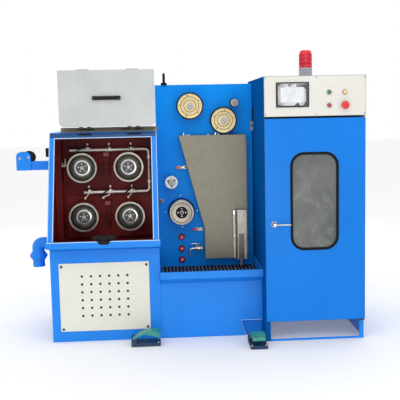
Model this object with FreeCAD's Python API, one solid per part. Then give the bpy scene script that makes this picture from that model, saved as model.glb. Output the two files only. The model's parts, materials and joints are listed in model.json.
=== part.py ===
import FreeCAD, Part
import os
from math import cos, hypot, sin

# Wire drawing machine with annealer panel and spooler cabinet, in millimetres.
# While it is laid out, X = 0 is the cabinet's left face, Y = 0 the front of its door and
# Z = 0 the floor. The finished solids are moved so that the origin is under the middle of
# the whole machine.

os.makedirs("parts", exist_ok=True)
V = FreeCAD.Vector

# ---- driving dimensions ----------------------------------------------------------------

seat_gap = 0.3            # between a moving piece and the shoulder that it runs against
run_gap = 0.05            # radial, between a shaft and its hole

# spooler cabinet
cabinet_width = 620.0
cabinet_depth = 860.0
cabinet_height = 1636.0
cabinet_wall = 4.0
leg_height = 126.0        # open bay under the cabinet's floor
post_width = 30.0
control_height = 242.0
control_sheet = 3.0
control_depth = 320.0     # of the box behind the control panel
shelf_sheet = 4.0
bottom_plate_lift = 3.0
bottom_lip_height = 14.0

# wire slot through the cabinet's left wall
slot_y = 578.0
slot_width = 36.0
slot_height = 81.0
slot_drop = 188.0         # slot's upper end below the roof

# cabinet door
door_thickness = 20.0
door_sheet = 3.0
door_reveal = 2.0         # at the sides
door_bottom_gap = 12.0    # for the lower hinge plate
door_top_gap = 12.0
door_back_gap = 8.0       # from the door's back to the posts
hinge_inset = 10.0        # pin's centre from the door's right edge and from its front
hinge_pin_radius = 5.0
hinge_block_width = 22.0
hinge_block_height = 46.0
hinge_plate = 8.0
window_width = 299.0
window_height = 603.0
window_corner = 85.0
window_centre_x = 303.7
window_centre_z = 877.0
gasket_lap = 6.0          # over the door's sheet
gasket_width = 16.0
gasket_proud = 4.0
gasket_depth = 12.0
pane_thickness = 5.0
pane_setback = 3.0

# door lever
lever_x = 54.0
lever_z = 741.0
lever_length = 100.0
lever_bar = 13.0
lever_hub_radius = 14.0
lever_hub_length = 36.0
lever_stem_radius = 7.0
lever_stem_length = 18.0

# controls
screen_width = 200.0
screen_height = 149.0
screen_left = 72.0
screen_drop = 38.0        # screen's upper edge below the roof
screen_proud = 6.0
button_radius = 15.0
button_proud = 12.0
button_stem_radius = 11.0
button_stem_length = 30.0
button_column_1 = 395.0
button_column_2 = 490.0
button_drop_high = 101.0  # upper row below the roof
button_drop_low = 179.0
stop_radius = 24.5
stop_height = 18.0
stop_collar_radius = 15.0
stop_travel = 6.0

# beacon on the cabinet's roof
beacon_x = 304.0
beacon_y = 280.0
beacon_base_radius = 45.0
beacon_base_height = 60.0
beacon_dome_radius = 42.0
beacon_dome_height = 110.0

# annealer bay, between the cabinet and the drawing chamber
bay_width = 650.0
panel_y = 640.0
panel_height = 1617.0
panel_overlap = 6.0       # tall housing past the bay's left edge
base_front = 180.0
bay_base_height = 270.0
toe_width_low = 110.0
toe_width_high = 138.0
toe_height = 101.0
toe_depth = 210.0

# drip tray and its grille
tray_wall = 6.0
tray_front = 128.0
tray_top = 438.0
tray_lip_height = 46.0
tray_slope = 35.0
grille_z = 360.0
grille_thickness = 12.0
grille_slots = 12
grille_slot_width = 26.0
grille_rim = 22.0
grille_gap = 2.0
ledge_width = 16.0

# steel cover over the annealer
cover_depth = 70.0
cover_top = 1276.0
cover_bottom = 431.0
cover_left_high = -505.0
cover_left_low = -341.0
cover_right = -50.0
cover_shoulder = 640.0    # where the slanted edge meets the short upright one

# wire wiper in front of the cover
wiper_left = -128.0
wiper_width = 68.0
wiper_bottom = 433.0
wiper_height = 336.0
wiper_depth = 60.0
wiper_strip_width = 17.0
wiper_strip_gap = 4.0
wiper_strip_depth = 22.0
tube_x = -96.0
tube_radius = 9.0
tube_length = 48.0

# wheels on the annealer panel: centre from the bay's left edge, centre's height
sheave_upper_at = (226.0, 1473.0)
sheave_lower_at = (450.0, 1373.0)
sheave_radius = 91.0
sheave_groove = 9.0
sheave_width = 26.0
sheave_web = 8.0
sheave_web_radius = 70.0
sheave_hub_radius = 24.0
sheave_hub_width = 36.0
axle_radius = 10.0
axle_collar_radius = 20.0
axle_collar_length = 40.0
axle_cap_radius = 17.0
axle_cap_length = 7.0

plain_idler_at = (90.0, 963.0)
plain_idler_radius = 44.0
plain_idler_width = 30.0

cap_idler_at = (524.0, 1489.0)
cap_idler_radius = 29.0
cap_idler_width = 60.0

capstan_at = (154.0, 757.0)
capstan_radius = 82.0
capstan_land_radius = 74.0
capstan_width = 62.0
capstan_flange = 9.0
capstan_hub_radius = 36.0
capstan_hub_depth = 16.0
capstan_stem_radius = 26.0
capstan_ring_radius = 94.0
capstan_ring_thickness = 12.0
capstan_stem_gap = 26.0   # from the ring's face to the drum

# button station, latches and tap on the annealer panel, from the bay's left edge
station_x = 151.0
station_z = (576.0, 496.0, 419.0)
station_radius = 24.0
station_lens_radius = 15.0
station_proud = 14.0
station_lens_proud = 8.0
latch_length = 80.0
latch_width = 26.0
latch_height = 24.0
latch_at = ((158.0, 1058.0), (267.0, 628.0))
tap_x = 266.0
tap_z = 502.0
tap_body_radius = 17.0
tap_body_length = 60.0
tap_reach = 52.0
tap_spout_radius = 9.0
tap_spout_bend = 26.0
tap_spout_drop = 22.0
tap_neck_radius = 8.0
tap_neck_height = 14.0
tap_lever_length = 52.0
tap_lever_width = 13.0
tap_lever_thickness = 6.0
tap_cap_radius = 12.0
tap_pin_radius = 4.0

# lifting eye, from the bay's left edge
eye_x = 56.0
eye_y = 640.0
eye_ring_radius = 31.0
eye_bar_radius = 9.0
eye_collar_radius = 21.0
eye_collar_height = 14.0

# guide at the wire slot
guide_low = 1299.0
guide_height = 66.0
guide_width = 34.0
guide_reach = 26.0

# drawing chamber
chamber_width = 687.0
chamber_floor = 587.0
chamber_top = 1316.0
chamber_top_front = 390.0
chamber_lip_front = 96.0
chamber_lip_top = 653.0
chamber_wall = 6.0
lip_over = 8.0            # lip past the chamber's sides
lip_height = 42.0
frame_strip = 32.0
frame_plate = 6.0
back_plate = 3.0

# drawing cones
cone_side = 191.0         # centres from the chamber's sides
cone_drop = 235.0         # upper centres below the chamber's top
cone_rise = 166.0         # lower centres above the chamber's floor
cone_radius = 99.0
cone_step = 9.0
cone_steps = 4
cone_step_width = 26.0
cone_flange = 8.0
cone_dish_radius = 80.0
cone_dish_depth = 30.0
cone_boss_radius = 53.0
cone_boss_rise = 18.0
cone_hub_radius = 37.0
cone_shaft_radius = 30.0
bearing_radius = 60.0
bearing_length = 40.0
cone_back_gap = 18.0      # from the bearing's face to the smallest step

# coolant pipes
pipe_radius = 10.0
pipe_y = 560.0
pipe_drop = 122.0         # upper run below the chamber's top
pipe_low_drop = 6.0       # lower run below the middle between the cones
pipe_bend = 26.0
pipe_left_high = 105.0    # runs' ends from the chamber's left face
pipe_left_low = 189.0
pipe_right = 59.0         # from the chamber's right face
nozzle_steps = (32.0, 175.0, 320.0)   # from the left cones' centre
nozzle_body_radius = 14.0
nozzle_body_length = 34.0
nozzle_knob_radius = 12.0
nozzle_knob_height = 22.0
nozzle_drop = 24.0
nozzle_reach = 60.0

# die holders, midway between the cones
die_block_width = 50.0
die_block_height = 36.0
die_rise = 80.0           # block above the cones' centre
die_arm_height = 150.0
die_arm_width = 34.0
die_arm_depth = 30.0
die_block_depth = 56.0
die_knob_radius = 11.0
die_knob_length = 46.0
die_knob_drops = (68.0, 115.0)

# bi-fold lid over the chamber
lid_width = 608.0
lid_inset = 73.0          # lid's left edge from the chamber's left face
lid_depth = 20.0
lid_sheet = 2.0
lid_upper_length = 352.0
lid_lower_length = 360.0
lid_corner = 34.0
lid_side_gap = 10.0       # between the lid's left edge and the hinge rail's end
lid_hinge_rise = 38.0     # hinge line along the slant, past the chamber's top edge
lid_hinge_proud = 22.0    # hinge line in front of the slanted plane
lid_hinge_radius = 7.0
lid_hinge_pin_radius = 4.0
fold_hinge_radius = 4.6
fold_hinge_pin_radius = 2.5
lid_hinge_length = 78.0
lid_hinge_left = 157.0    # hinges' middles from the lid's edges
lid_hinge_right = 140.0
lid_axis_cover = 16.0     # leaf's inner face, in front of the hinge line
lid_fold_gap = 10.0       # between the folded leaves
lid_edge_gap = 9.0        # leaf's edge from the lid's hinge line
fold_edge_gap = 3.0       # leaf's edge from the fold line
rail_height = 34.0
rail_thickness = 5.0
lid_handle_length = 180.0
lid_handle_height = 27.0
lid_handle_depth = 30.0
lid_handle_drop = 180.0   # below the fold line

# base under the chamber
vent_left = 53.0          # from the chamber's left face
vent_width = 564.0
vent_bottom = 68.0
vent_height = 436.0
vent_sheet = 3.0
vent_holes = 6
vent_pitch_x = 57.0
vent_pitch_z = 50.7
vent_first_x = 142.0      # first hole from the panel's left edge
vent_first_z = 98.0       # first hole from the panel's lower edge
vent_hole_radius = 8.0

# wire inlet on the left side
inlet_y = 480.0
inlet_z = 1105.0
inlet_reach = 228.0
inlet_bar_height = 58.0
inlet_bar_depth = 44.0
inlet_cheek_length = 94.0
inlet_cheek_height = 62.0
inlet_cheek = 8.0
inlet_pulley_radius = 42.0
inlet_pulley_width = 26.0
inlet_pulley_groove = 9.0
inlet_pulley_rise = 55.0  # axle above the bar's middle
inlet_pulley_inset = 14.0 # axle from the cheeks' right ends
inlet_pocket_gap = 6.0
inlet_guide_reach = 40.0  # small guide on the chamber's wall, over the bar
inlet_guide_low = 54.0    # above the bar's middle
inlet_guide_height = 58.0
inlet_guide_depth = 16.0
inlet_axle_radius = 8.0
inlet_foot = 90.0

# drain elbow on the left side
drain_y = 420.0
drain_z = 600.0
drain_radius = 40.0
drain_bore = 34.0
drain_reach = 106.0
drain_drop = 152.0
drain_union_radius = 54.0
drain_union_height = 28.0
drain_union_drop = 66.0
drain_flange_radius = 56.0
drain_flange = 12.0

# foot pedals
pedal_length = 180.0
pedal_width = 104.0
pedal_base_height = 20.0
pedal_cheek = 8.0
pedal_pivot_height = 36.0
pedal_pivot_inset = 18.0
pedal_pin_radius = 5.0
pedal_toe_height = 84.0
pedal_plate = 9.0
pedal_eye_radius = 12.0
pedal_side_gap = 5.0
pedal_left_at = (98.0, 68.0)     # middle, left of the chamber's right face
pedal_right_at = (62.0, -36.0)   # middle, left of the cabinet

# ---- shapes ----------------------------------------------------------------------------


def block(x0, x1, y0, y1, z0, z1):
    return Part.makeBox(x1 - x0, y1 - y0, z1 - z0, V(x0, y0, z0))


def rod(radius, length, at, direction):
    return Part.makeCylinder(radius, length, V(*at), V(*direction))


def turned(points, x, z):
    """Solid of revolution about an axis along Y; points are (radius, y)."""
    wire = Part.makePolygon([V(r, y, 0) for r, y in points + points[:1]])
    solid = Part.Face(wire).revolve(V(0, 0, 0), V(0, 1, 0), 360)
    solid.translate(V(x, 0, z))
    return solid


def along_x(points, x0, x1):
    """Outline of (y, z) points, extruded from x0 to x1."""
    wire = Part.makePolygon([V(x0, y, z) for y, z in points + points[:1]])
    return Part.Face(wire).extrude(V(x1 - x0, 0, 0))


def along_y(points, y0, y1):
    """Outline of (x, z) points, extruded from y0 to y1."""
    wire = Part.makePolygon([V(x, y0, z) for x, z in points + points[:1]])
    return Part.Face(wire).extrude(V(0, y1 - y0, 0))


def rounded_plate(cx, cz, width, height, corner, y0, y1):
    """Upright plate with round corners, facing along Y."""
    plate = block(cx - width / 2, cx + width / 2, y0, y1, cz - height / 2, cz + height / 2)
    edges = [e for e in plate.Edges if abs(e.Vertexes[0].Y - e.Vertexes[1].Y) > 0.1]
    return plate.makeFillet(corner, edges)


def fused(first, *others):
    return first.multiFuse(list(others)).removeSplitter()


def pipe(points, radius, bend):
    """Round bar through points, with arcs of the bend's radius at the inner ones."""
    nodes = [V(*p) for p in points]
    edges = []
    start = nodes[0]
    for before, corner, after in zip(nodes, nodes[1:], nodes[2:]):
        arrive = (corner - before).normalize()
        leave = (after - corner).normalize()
        half = arrive.getAngle(leave) / 2
        reach = bend * sin(half) / cos(half)
        arc_start = corner - arrive * reach
        arc_end = corner + leave * reach
        inward = (leave - arrive).normalize()
        middle = corner + inward * (bend / cos(half) - bend)
        edges.append(Part.LineSegment(start, arc_start).toShape())
        edges.append(Part.Arc(arc_start, middle, arc_end).toShape())
        start = arc_end
    edges.append(Part.LineSegment(start, nodes[-1]).toShape())
    path = Part.Wire(edges)
    section = Part.Wire(Part.makeCircle(radius, nodes[0], nodes[1] - nodes[0]))
    return path.makePipeShell([section], True, False)


# ---- places that follow from the driving dimensions ------------------------------------

chamber_right = -bay_width
chamber_left = chamber_right - chamber_width
panel_right = 0.0
slot_high = cabinet_height - slot_drop
slot_low = slot_high - slot_height
screen_bottom = cabinet_height - screen_drop - screen_height
button_row_high = cabinet_height - button_drop_high
button_row_low = cabinet_height - button_drop_low
cone_columns = (chamber_left + cone_side, chamber_right - cone_side)
cone_rows = (chamber_top - cone_drop, chamber_floor + cone_rise)
pipe_high = chamber_top - pipe_drop
pipe_low = sum(cone_rows) / 2 - pipe_low_drop
nozzle_columns = tuple(cone_columns[0] + step for step in nozzle_steps)
die_x = sum(cone_columns) / 2


def in_bay(place):
    """Layout place of an (x from the bay's left edge, height) pair."""
    return (chamber_right + place[0], place[1])


# ---- spooler cabinet -------------------------------------------------------------------

posts_y = door_thickness + door_back_gap
control_bottom = cabinet_height - control_height
door_low = leg_height
door_high = control_bottom - door_top_gap


def cabinet_wall_plate(x0, x1, post_x0, post_x1):
    side = along_x([(posts_y, 0), (posts_y, control_bottom), (control_sheet, control_bottom),
                    (control_sheet, cabinet_height), (cabinet_depth, cabinet_height),
                    (cabinet_depth, 0)], x0, x1)
    post = block(post_x0, post_x1, posts_y, posts_y + cabinet_wall, 0, control_bottom)
    return fused(side, post)


def cabinet_left_wall():
    wall = cabinet_wall_plate(0, cabinet_wall, 0, post_width)
    slot = block(-1, cabinet_wall + 1, slot_y - slot_width / 2, slot_y + slot_width / 2,
                 slot_low, slot_high)
    return wall.cut(slot)


def cabinet_right_wall():
    return cabinet_wall_plate(cabinet_width - cabinet_wall, cabinet_width,
                              cabinet_width - post_width, cabinet_width)


def cabinet_back_wall():
    return block(cabinet_wall, cabinet_width - cabinet_wall, cabinet_depth - cabinet_wall,
                 cabinet_depth, 0, cabinet_height - shelf_sheet)


def cabinet_roof():
    return block(cabinet_wall, cabinet_width - cabinet_wall, control_sheet, cabinet_depth,
                 cabinet_height - shelf_sheet, cabinet_height)


def cabinet_decks():
    """Floor of the spooler compartment, and the deck and riser behind the controls."""
    inner_x = (cabinet_wall, cabinet_width - cabinet_wall)
    back = cabinet_depth - cabinet_wall
    floor = block(*inner_x, posts_y + cabinet_wall, back, leg_height - shelf_sheet, leg_height)
    deck = block(*inner_x, control_sheet, control_depth, control_bottom,
                 control_bottom + shelf_sheet)
    riser = block(*inner_x, control_depth - shelf_sheet, control_depth, control_bottom,
                  cabinet_height - shelf_sheet)
    return Part.makeCompound([floor, fused(deck, riser)])


def bottom_plate():
    front = posts_y + cabinet_wall
    plate = block(cabinet_wall, cabinet_width - cabinet_wall, front,
                  cabinet_depth - cabinet_wall, bottom_plate_lift,
                  bottom_plate_lift + shelf_sheet)
    lip = block(post_width, cabinet_width - post_width, front - cabinet_wall, front, 0,
                bottom_lip_height)
    return fused(plate, lip)


def hinge_pin_x():
    return cabinet_width - door_reveal - hinge_inset


def door_hinge_pins():
    """Two plates on the right post, each with a pin that enters the door's edge."""
    x = hinge_pin_x()
    parts = []
    for plate_low, pin_low in ((door_low - hinge_plate / 2, door_low + hinge_plate / 2),
                               (control_bottom - hinge_plate,
                                door_high - hinge_block_height + 2)):
        plate = block(cabinet_width - post_width, cabinet_width - cabinet_wall, 2, posts_y,
                      plate_low, plate_low + hinge_plate)
        pin_length = (hinge_block_height - 2 + door_bottom_gap - hinge_plate)
        pin = rod(hinge_pin_radius, pin_length, (x, hinge_inset, pin_low), (0, 0, 1))
        parts.append(fused(plate, pin))
    return Part.makeCompound(parts)


def door_bottom():
    return door_low + door_bottom_gap - hinge_plate / 2


def door_panel():
    """Sheet pan with turned edges, a round-cornered window and two hinge blocks."""
    left, right = door_reveal, cabinet_width - door_reveal
    low, high = door_bottom(), door_high
    pan = block(left, right, 0, door_thickness, low, high)
    pan = pan.cut(block(left + door_sheet, right - door_sheet, door_sheet,
                        door_thickness + 1, low + door_sheet, high - door_sheet))
    hole_w = window_width - 2 * gasket_lap
    hole_h = window_height - 2 * gasket_lap
    pan = pan.cut(rounded_plate(window_centre_x, window_centre_z, hole_w, hole_h,
                                window_corner - gasket_lap, -1, door_sheet + 1))
    blocks = [block(right - hinge_block_width, right, 0, door_thickness, low,
                    low + hinge_block_height),
              block(right - hinge_block_width, right, 0, door_thickness,
                    high - hinge_block_height, high)]
    pan = fused(pan, *blocks)
    bore = hinge_pin_radius + run_gap
    for z in (low, high - hinge_block_height):
        pan = pan.cut(rod(bore, hinge_block_height + 2, (hinge_pin_x(), hinge_inset, z - 1),
                          (0, 0, 1)))
    return pan.cut(rod(lever_stem_radius + run_gap, door_sheet + 2, (lever_x, -1, lever_z),
                       (0, 1, 0)))


def window_ring(outer_cut, inner_cut, y0, y1):
    """Round-cornered ring, its outlines set in from the window's outer size."""
    outer = rounded_plate(window_centre_x, window_centre_z, window_width - 2 * outer_cut,
                          window_height - 2 * outer_cut, window_corner - outer_cut, y0, y1)
    inner = rounded_plate(window_centre_x, window_centre_z, window_width - 2 * inner_cut,
                          window_height - 2 * inner_cut, window_corner - inner_cut,
                          y0 - 1, y1 + 1)
    return outer.cut(inner)


def window_gasket():
    return fused(window_ring(0, gasket_width, -gasket_proud, 0),
                 window_ring(gasket_lap, gasket_width, 0, gasket_depth))


def window_pane():
    return rounded_plate(window_centre_x, window_centre_z, window_width - 2 * gasket_width,
                         window_height - 2 * gasket_width, window_corner - gasket_width,
                         pane_setback, pane_setback + pane_thickness)


def door_lever():
    """Hub, stem through the door and a flat lever that points at the hinges."""
    hub = rod(lever_hub_radius, lever_hub_length, (lever_x, -seat_gap, lever_z), (0, -1, 0))
    stem = rod(lever_stem_radius, lever_stem_length + seat_gap, (lever_x, -seat_gap, lever_z),
               (0, 1, 0))
    bar = block(lever_x, lever_x + lever_length, -lever_hub_length, -lever_hub_length + lever_bar,
                lever_z - lever_bar / 2, lever_z + lever_bar / 2)
    ends = [e for e in bar.Edges if abs(e.Vertexes[0].Y - e.Vertexes[1].Y) > 0.1
            and e.Vertexes[0].X > lever_x + 1]
    bar = bar.makeFillet(lever_bar / 2 - 0.5, ends)
    return fused(hub, stem, bar)


# ---- controls and beacon ---------------------------------------------------------------

button_places = ((button_column_1, button_row_high), (button_column_2, button_row_high),
                 (button_column_1, button_row_low))


def control_panel():
    plate = block(0, cabinet_width, 0, control_sheet, control_bottom, cabinet_height)
    for x, z in button_places:
        plate = plate.cut(rod(button_stem_radius, control_sheet + 2, (x, -1, z), (0, 1, 0)))
    return plate.cut(rod(stop_collar_radius + run_gap, control_sheet + 2,
                         (button_column_2, -1, button_row_low), (0, 1, 0)))


def touch_screen():
    return block(screen_left, screen_left + screen_width, -screen_proud, 0, screen_bottom,
                 screen_bottom + screen_height)


def push_buttons():
    """Three flush buttons, their stems in the panel's holes."""
    solids = []
    for x, z in button_places:
        cap = rod(button_radius, button_proud, (x, -button_proud, z), (0, 1, 0))
        stem = rod(button_stem_radius, button_stem_length, (x, 0, z), (0, 1, 0))
        solids.append(fused(cap, stem))
    return Part.makeCompound(solids)


def stop_button():
    """Mushroom head on a collar that slides into the panel."""
    x, z = button_column_2, button_row_low
    stand = stop_travel + 5
    y_back = -stand
    head = turned([(0, y_back - stop_height), (stop_radius * 0.6, y_back - stop_height),
                   (stop_radius, y_back - stop_height / 2), (stop_radius, y_back),
                   (0, y_back)], x, z)
    collar = rod(stop_collar_radius, stand + button_stem_length, (x, y_back, z), (0, 1, 0))
    return fused(head, collar)


def beacon_base():
    z = cabinet_height
    foot = rod(beacon_base_radius, beacon_base_height, (beacon_x, beacon_y, z), (0, 0, 1))
    return foot.makeFillet(4, [e for e in foot.Edges if e.BoundBox.ZMin > z + 1
                               and e.BoundBox.ZLength < 0.1])


def beacon_dome():
    z = cabinet_height + beacon_base_height
    dome = rod(beacon_dome_radius, beacon_dome_height, (beacon_x, beacon_y, z), (0, 0, 1))
    top = [e for e in dome.Edges if e.BoundBox.ZMin > z + 1 and e.BoundBox.ZLength < 0.1]
    return dome.makeFillet(22, top)


# ---- bases and rear housing ------------------------------------------------------------

def chamber_base():
    return block(chamber_left, chamber_right, base_front, panel_y, 0, chamber_floor)


def bay_base():
    """Closed base of the bay, with a toe recess at its lower right corner."""
    body = block(chamber_right, panel_right, base_front, panel_y, 0, bay_base_height)
    toe = along_y([(-toe_width_low, -1), (-toe_width_low, 0), (-toe_width_high, toe_height),
                   (1, toe_height), (1, -1)], base_front - 1, base_front + toe_depth)
    return body.cut(toe)


def rear_housing():
    """Closed drive housing behind the bay and the chamber, with the capstan's ring."""
    high = block(chamber_right - panel_overlap, panel_right, panel_y, cabinet_depth, 0,
                 panel_height)
    low = block(chamber_left, chamber_right, panel_y, cabinet_depth, 0, chamber_top)
    x, z = in_bay(capstan_at)
    ring = rod(capstan_ring_radius, capstan_ring_thickness,
               (x, panel_y - capstan_ring_thickness, z), (0, 1, 0))
    housing = fused(high, low, ring)
    bore = rod(capstan_stem_radius + run_gap, capstan_ring_thickness + axle_collar_length,
               (x, panel_y - capstan_ring_thickness, z), (0, 1, 0))
    return housing.cut(bore)


def vent_panel():
    left = chamber_left + vent_left
    plate = block(left, left + vent_width, base_front - vent_sheet, base_front,
                  vent_bottom, vent_bottom + vent_height)
    holes = []
    for column in range(vent_holes):
        for row in range(vent_holes):
            x = left + vent_first_x + column * vent_pitch_x
            z = vent_bottom + vent_first_z + row * vent_pitch_z
            holes.append(rod(vent_hole_radius, vent_sheet + 2, (x, base_front - vent_sheet - 1, z),
                             (0, 1, 0)))
    return plate.cut(Part.makeCompound(holes))


# ---- drip tray -------------------------------------------------------------------------


def drip_tray():
    """Pan on the bay's base, with a proud front lip and ledges under the grille."""
    slope_top = tray_top - tray_lip_height
    outer = along_x([(tray_front, tray_top), (tray_front, slope_top),
                     (base_front, slope_top - tray_slope), (base_front, bay_base_height),
                     (panel_y, bay_base_height), (panel_y, tray_top)],
                    chamber_right, panel_right)
    w = tray_wall
    inner = along_x([(tray_front + w, tray_top + 1), (tray_front + w, slope_top + w / 2),
                     (base_front + w, slope_top - tray_slope + w / 2),
                     (base_front + w, bay_base_height + w), (panel_y + 1, bay_base_height + w),
                     (panel_y + 1, tray_top + 1)],
                    chamber_right + w, panel_right - w)
    behind = block(chamber_right, chamber_right + w, base_front + w, panel_y,
                   grille_z, tray_top)
    tray = outer.cut(inner)
    ledges = [block(x0, x0 + ledge_width, base_front + w, panel_y, grille_z - w, grille_z)
              for x0 in (chamber_right + w, panel_right - w - ledge_width)]
    return fused(tray, behind, *ledges)


def drain_grille():
    x0 = chamber_right + tray_wall + grille_gap
    x1 = panel_right - tray_wall - grille_gap
    y0 = base_front + tray_wall + grille_gap
    y1 = panel_y - grille_gap
    plate = block(x0, x1, y0, y1, grille_z, grille_z + grille_thickness)
    pitch = (x1 - x0 - 2 * grille_rim - grille_slot_width) / (grille_slots - 1)
    slots = []
    for i in range(grille_slots):
        left = x0 + grille_rim + i * pitch
        slots.append(block(left, left + grille_slot_width, y0 + grille_rim, y1 - grille_rim,
                           grille_z - 1, grille_z + grille_thickness + 1))
    return plate.cut(Part.makeCompound(slots))


# ---- annealer panel --------------------------------------------------------------------


def annealer_cover():
    outline = [(cover_left_high, cover_top), (cover_right, cover_top),
               (cover_right, cover_bottom), (cover_left_low, cover_bottom),
               (cover_left_low, cover_shoulder)]
    return along_y(outline, panel_y - cover_depth, panel_y)


def wiper_box():
    """Upright box and strip on the cover, with the drain tube under it."""
    back = panel_y - cover_depth
    top = wiper_bottom + wiper_height
    box = block(wiper_left, wiper_left + wiper_width, back - wiper_depth, back,
                wiper_bottom, top)
    strip_right = wiper_left - wiper_strip_gap
    strip = block(strip_right - wiper_strip_width, strip_right, back - wiper_strip_depth, back,
                  wiper_bottom, top)
    tube = rod(tube_radius, tube_length, (tube_x, back - wiper_depth / 2, wiper_bottom),
               (0, 0, -1))
    return Part.makeCompound([fused(box, tube), strip])


def cover_latches():
    solids = []
    for x, z in map(in_bay, latch_at):
        base = block(x - latch_length / 2, x + latch_length / 2, panel_y - latch_height / 2,
                     panel_y, z - latch_width / 2, z + latch_width / 2)
        solids.append(base)
    return Part.makeCompound(solids)


def button_station():
    solids = []
    x = chamber_right + station_x
    for z in station_z:
        bezel = rod(station_radius, station_proud, (x, panel_y, z), (0, -1, 0))
        lens = rod(station_lens_radius, station_lens_proud,
                   (x, panel_y - station_proud, z), (0, -1, 0))
        solids.append(fused(bezel, lens))
    return Part.makeCompound(solids)


def tap_body():
    """Valve on a stub from the panel, with a spout that turns left and down."""
    x, y = chamber_right + tap_x, panel_y - tap_reach
    stub = rod(tap_body_radius * 0.7, tap_reach, (x, panel_y, tap_z), (0, -1, 0))
    body = rod(tap_body_radius, tap_body_length, (x - tap_body_length / 2, y, tap_z),
               (1, 0, 0))
    neck = rod(tap_neck_radius, tap_body_radius + tap_neck_height, (x, y, tap_z), (0, 0, 1))
    pin = rod(tap_pin_radius, tap_body_radius + tap_neck_height + tap_lever_thickness,
              (x, y, tap_z), (0, 0, 1))
    left = x - tap_body_length / 2
    spout = pipe([(left, y, tap_z), (left - tap_spout_bend - 2, y, tap_z),
                  (left - tap_spout_bend - 2, y, tap_z - tap_spout_bend - tap_spout_drop)],
                 tap_spout_radius, tap_spout_bend)
    return fused(stub, body, neck, pin, spout)


def tap_lever_z():
    return tap_z + tap_body_radius + tap_neck_height + seat_gap


def tap_lever():
    """Lever on the valve's stem, pointing left."""
    x, y = chamber_right + tap_x, panel_y - tap_reach
    z = tap_lever_z()
    cap = rod(tap_cap_radius, tap_lever_thickness, (x, y, z), (0, 0, 1))
    bar = block(x - tap_lever_length, x, y - tap_lever_width / 2,
                y + tap_lever_width / 2, z, z + tap_lever_thickness)
    lever = fused(cap, bar)
    return lever.cut(rod(tap_pin_radius + run_gap, tap_lever_thickness + 2, (x, y, z - 1),
                         (0, 0, 1)))


def lifting_eye():
    x, z = chamber_right + eye_x, panel_height
    collar = rod(eye_collar_radius, eye_collar_height, (x, eye_y, z), (0, 0, 1))
    ring_z = z + eye_collar_height + eye_ring_radius - eye_bar_radius / 2
    ring = Part.makeTorus(eye_ring_radius, eye_bar_radius, V(x, eye_y, ring_z), V(1, 0, 0))
    return fused(collar, ring)


def wire_guide():
    """Upright strip with a ring at the wire slot, on the cabinet's left wall."""
    plate = block(-guide_reach, 0, slot_y - guide_width / 2, slot_y + guide_width / 2,
                  guide_low, guide_low + guide_height)
    eye = rod(guide_width / 4, guide_width + 2, (-guide_reach / 2, slot_y - guide_width / 2 - 1,
                                                 guide_low + guide_height / 2), (0, 1, 0))
    return plate.cut(eye)


# ---- wheels ----------------------------------------------------------------------------


def axle(at, hub_width):
    """Stub axle from the panel, with a collar behind the wheel and a cap before it."""
    x, z = in_bay(at)
    shoulder = panel_y - axle_collar_length
    collar = rod(axle_collar_radius, axle_collar_length, (x, panel_y, z), (0, -1, 0))
    pin = rod(axle_radius, hub_width + 2 * seat_gap, (x, shoulder, z), (0, -1, 0))
    cap = rod(axle_cap_radius, axle_cap_length, (x, shoulder - hub_width - 2 * seat_gap, z),
              (0, -1, 0))
    return fused(collar, pin, cap)


def wheel_axles():
    return Part.makeCompound([axle(sheave_upper_at, sheave_hub_width),
                              axle(sheave_lower_at, sheave_hub_width),
                              axle(plain_idler_at, plain_idler_width),
                              axle(cap_idler_at, cap_idler_width)])


def wheel_back():
    return panel_y - axle_collar_length - seat_gap


def sheave(at):
    """Grooved wheel with a thin web and a hub."""
    back = wheel_back()
    hub_front = back - sheave_hub_width
    middle = back - sheave_hub_width / 2
    rim = sheave_width / 2
    web = sheave_web / 2
    bore = axle_radius + run_gap
    points = [(bore, back), (sheave_hub_radius, back), (sheave_hub_radius, middle + web),
              (sheave_web_radius, middle + web), (sheave_web_radius, middle + rim),
              (sheave_radius, middle + rim), (sheave_radius - sheave_groove, middle),
              (sheave_radius, middle - rim), (sheave_web_radius, middle - rim),
              (sheave_web_radius, middle - web), (sheave_hub_radius, middle - web),
              (sheave_hub_radius, hub_front), (bore, hub_front)]
    return turned(points, *in_bay(at))


def plain_idler():
    back = wheel_back()
    front = back - plain_idler_width
    bore = axle_radius + run_gap
    groove = plain_idler_width / 4
    points = [(bore, back), (plain_idler_radius, back), (plain_idler_radius, back - groove),
              (plain_idler_radius - groove, back - 2 * groove),
              (plain_idler_radius, back - 3 * groove), (plain_idler_radius, front),
              (bore, front)]
    return turned(points, *in_bay(plain_idler_at))


def cap_idler():
    back = wheel_back()
    bore = axle_radius + run_gap
    points = [(bore, back), (cap_idler_radius, back), (cap_idler_radius, back - cap_idler_width),
              (bore, back - cap_idler_width)]
    return turned(points, *in_bay(cap_idler_at))


def exit_capstan():
    """Drum with two flanges and a recessed hub, on a stem in the housing's ring."""
    ring_face = panel_y - capstan_ring_thickness
    back = ring_face - capstan_stem_gap
    front = back - capstan_width
    stem_end = panel_y + axle_collar_length - capstan_ring_thickness - 2
    r, land, flange = capstan_radius, capstan_land_radius, capstan_flange
    points = [(0, stem_end), (capstan_stem_radius, stem_end), (capstan_stem_radius, back),
              (r, back), (r, back - flange), (land, back - flange), (land, front + flange),
              (r, front + flange), (r, front), (r * 0.62, front),
              (capstan_hub_radius, front + capstan_hub_depth), (0, front + capstan_hub_depth)]
    return turned(points, *in_bay(capstan_at))


# ---- drawing chamber -------------------------------------------------------------------

slant = hypot(chamber_top_front - chamber_lip_front, chamber_top - chamber_lip_top)
slant_y = (chamber_top_front - chamber_lip_front) / slant
slant_z = (chamber_top - chamber_lip_top) / slant


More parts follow.
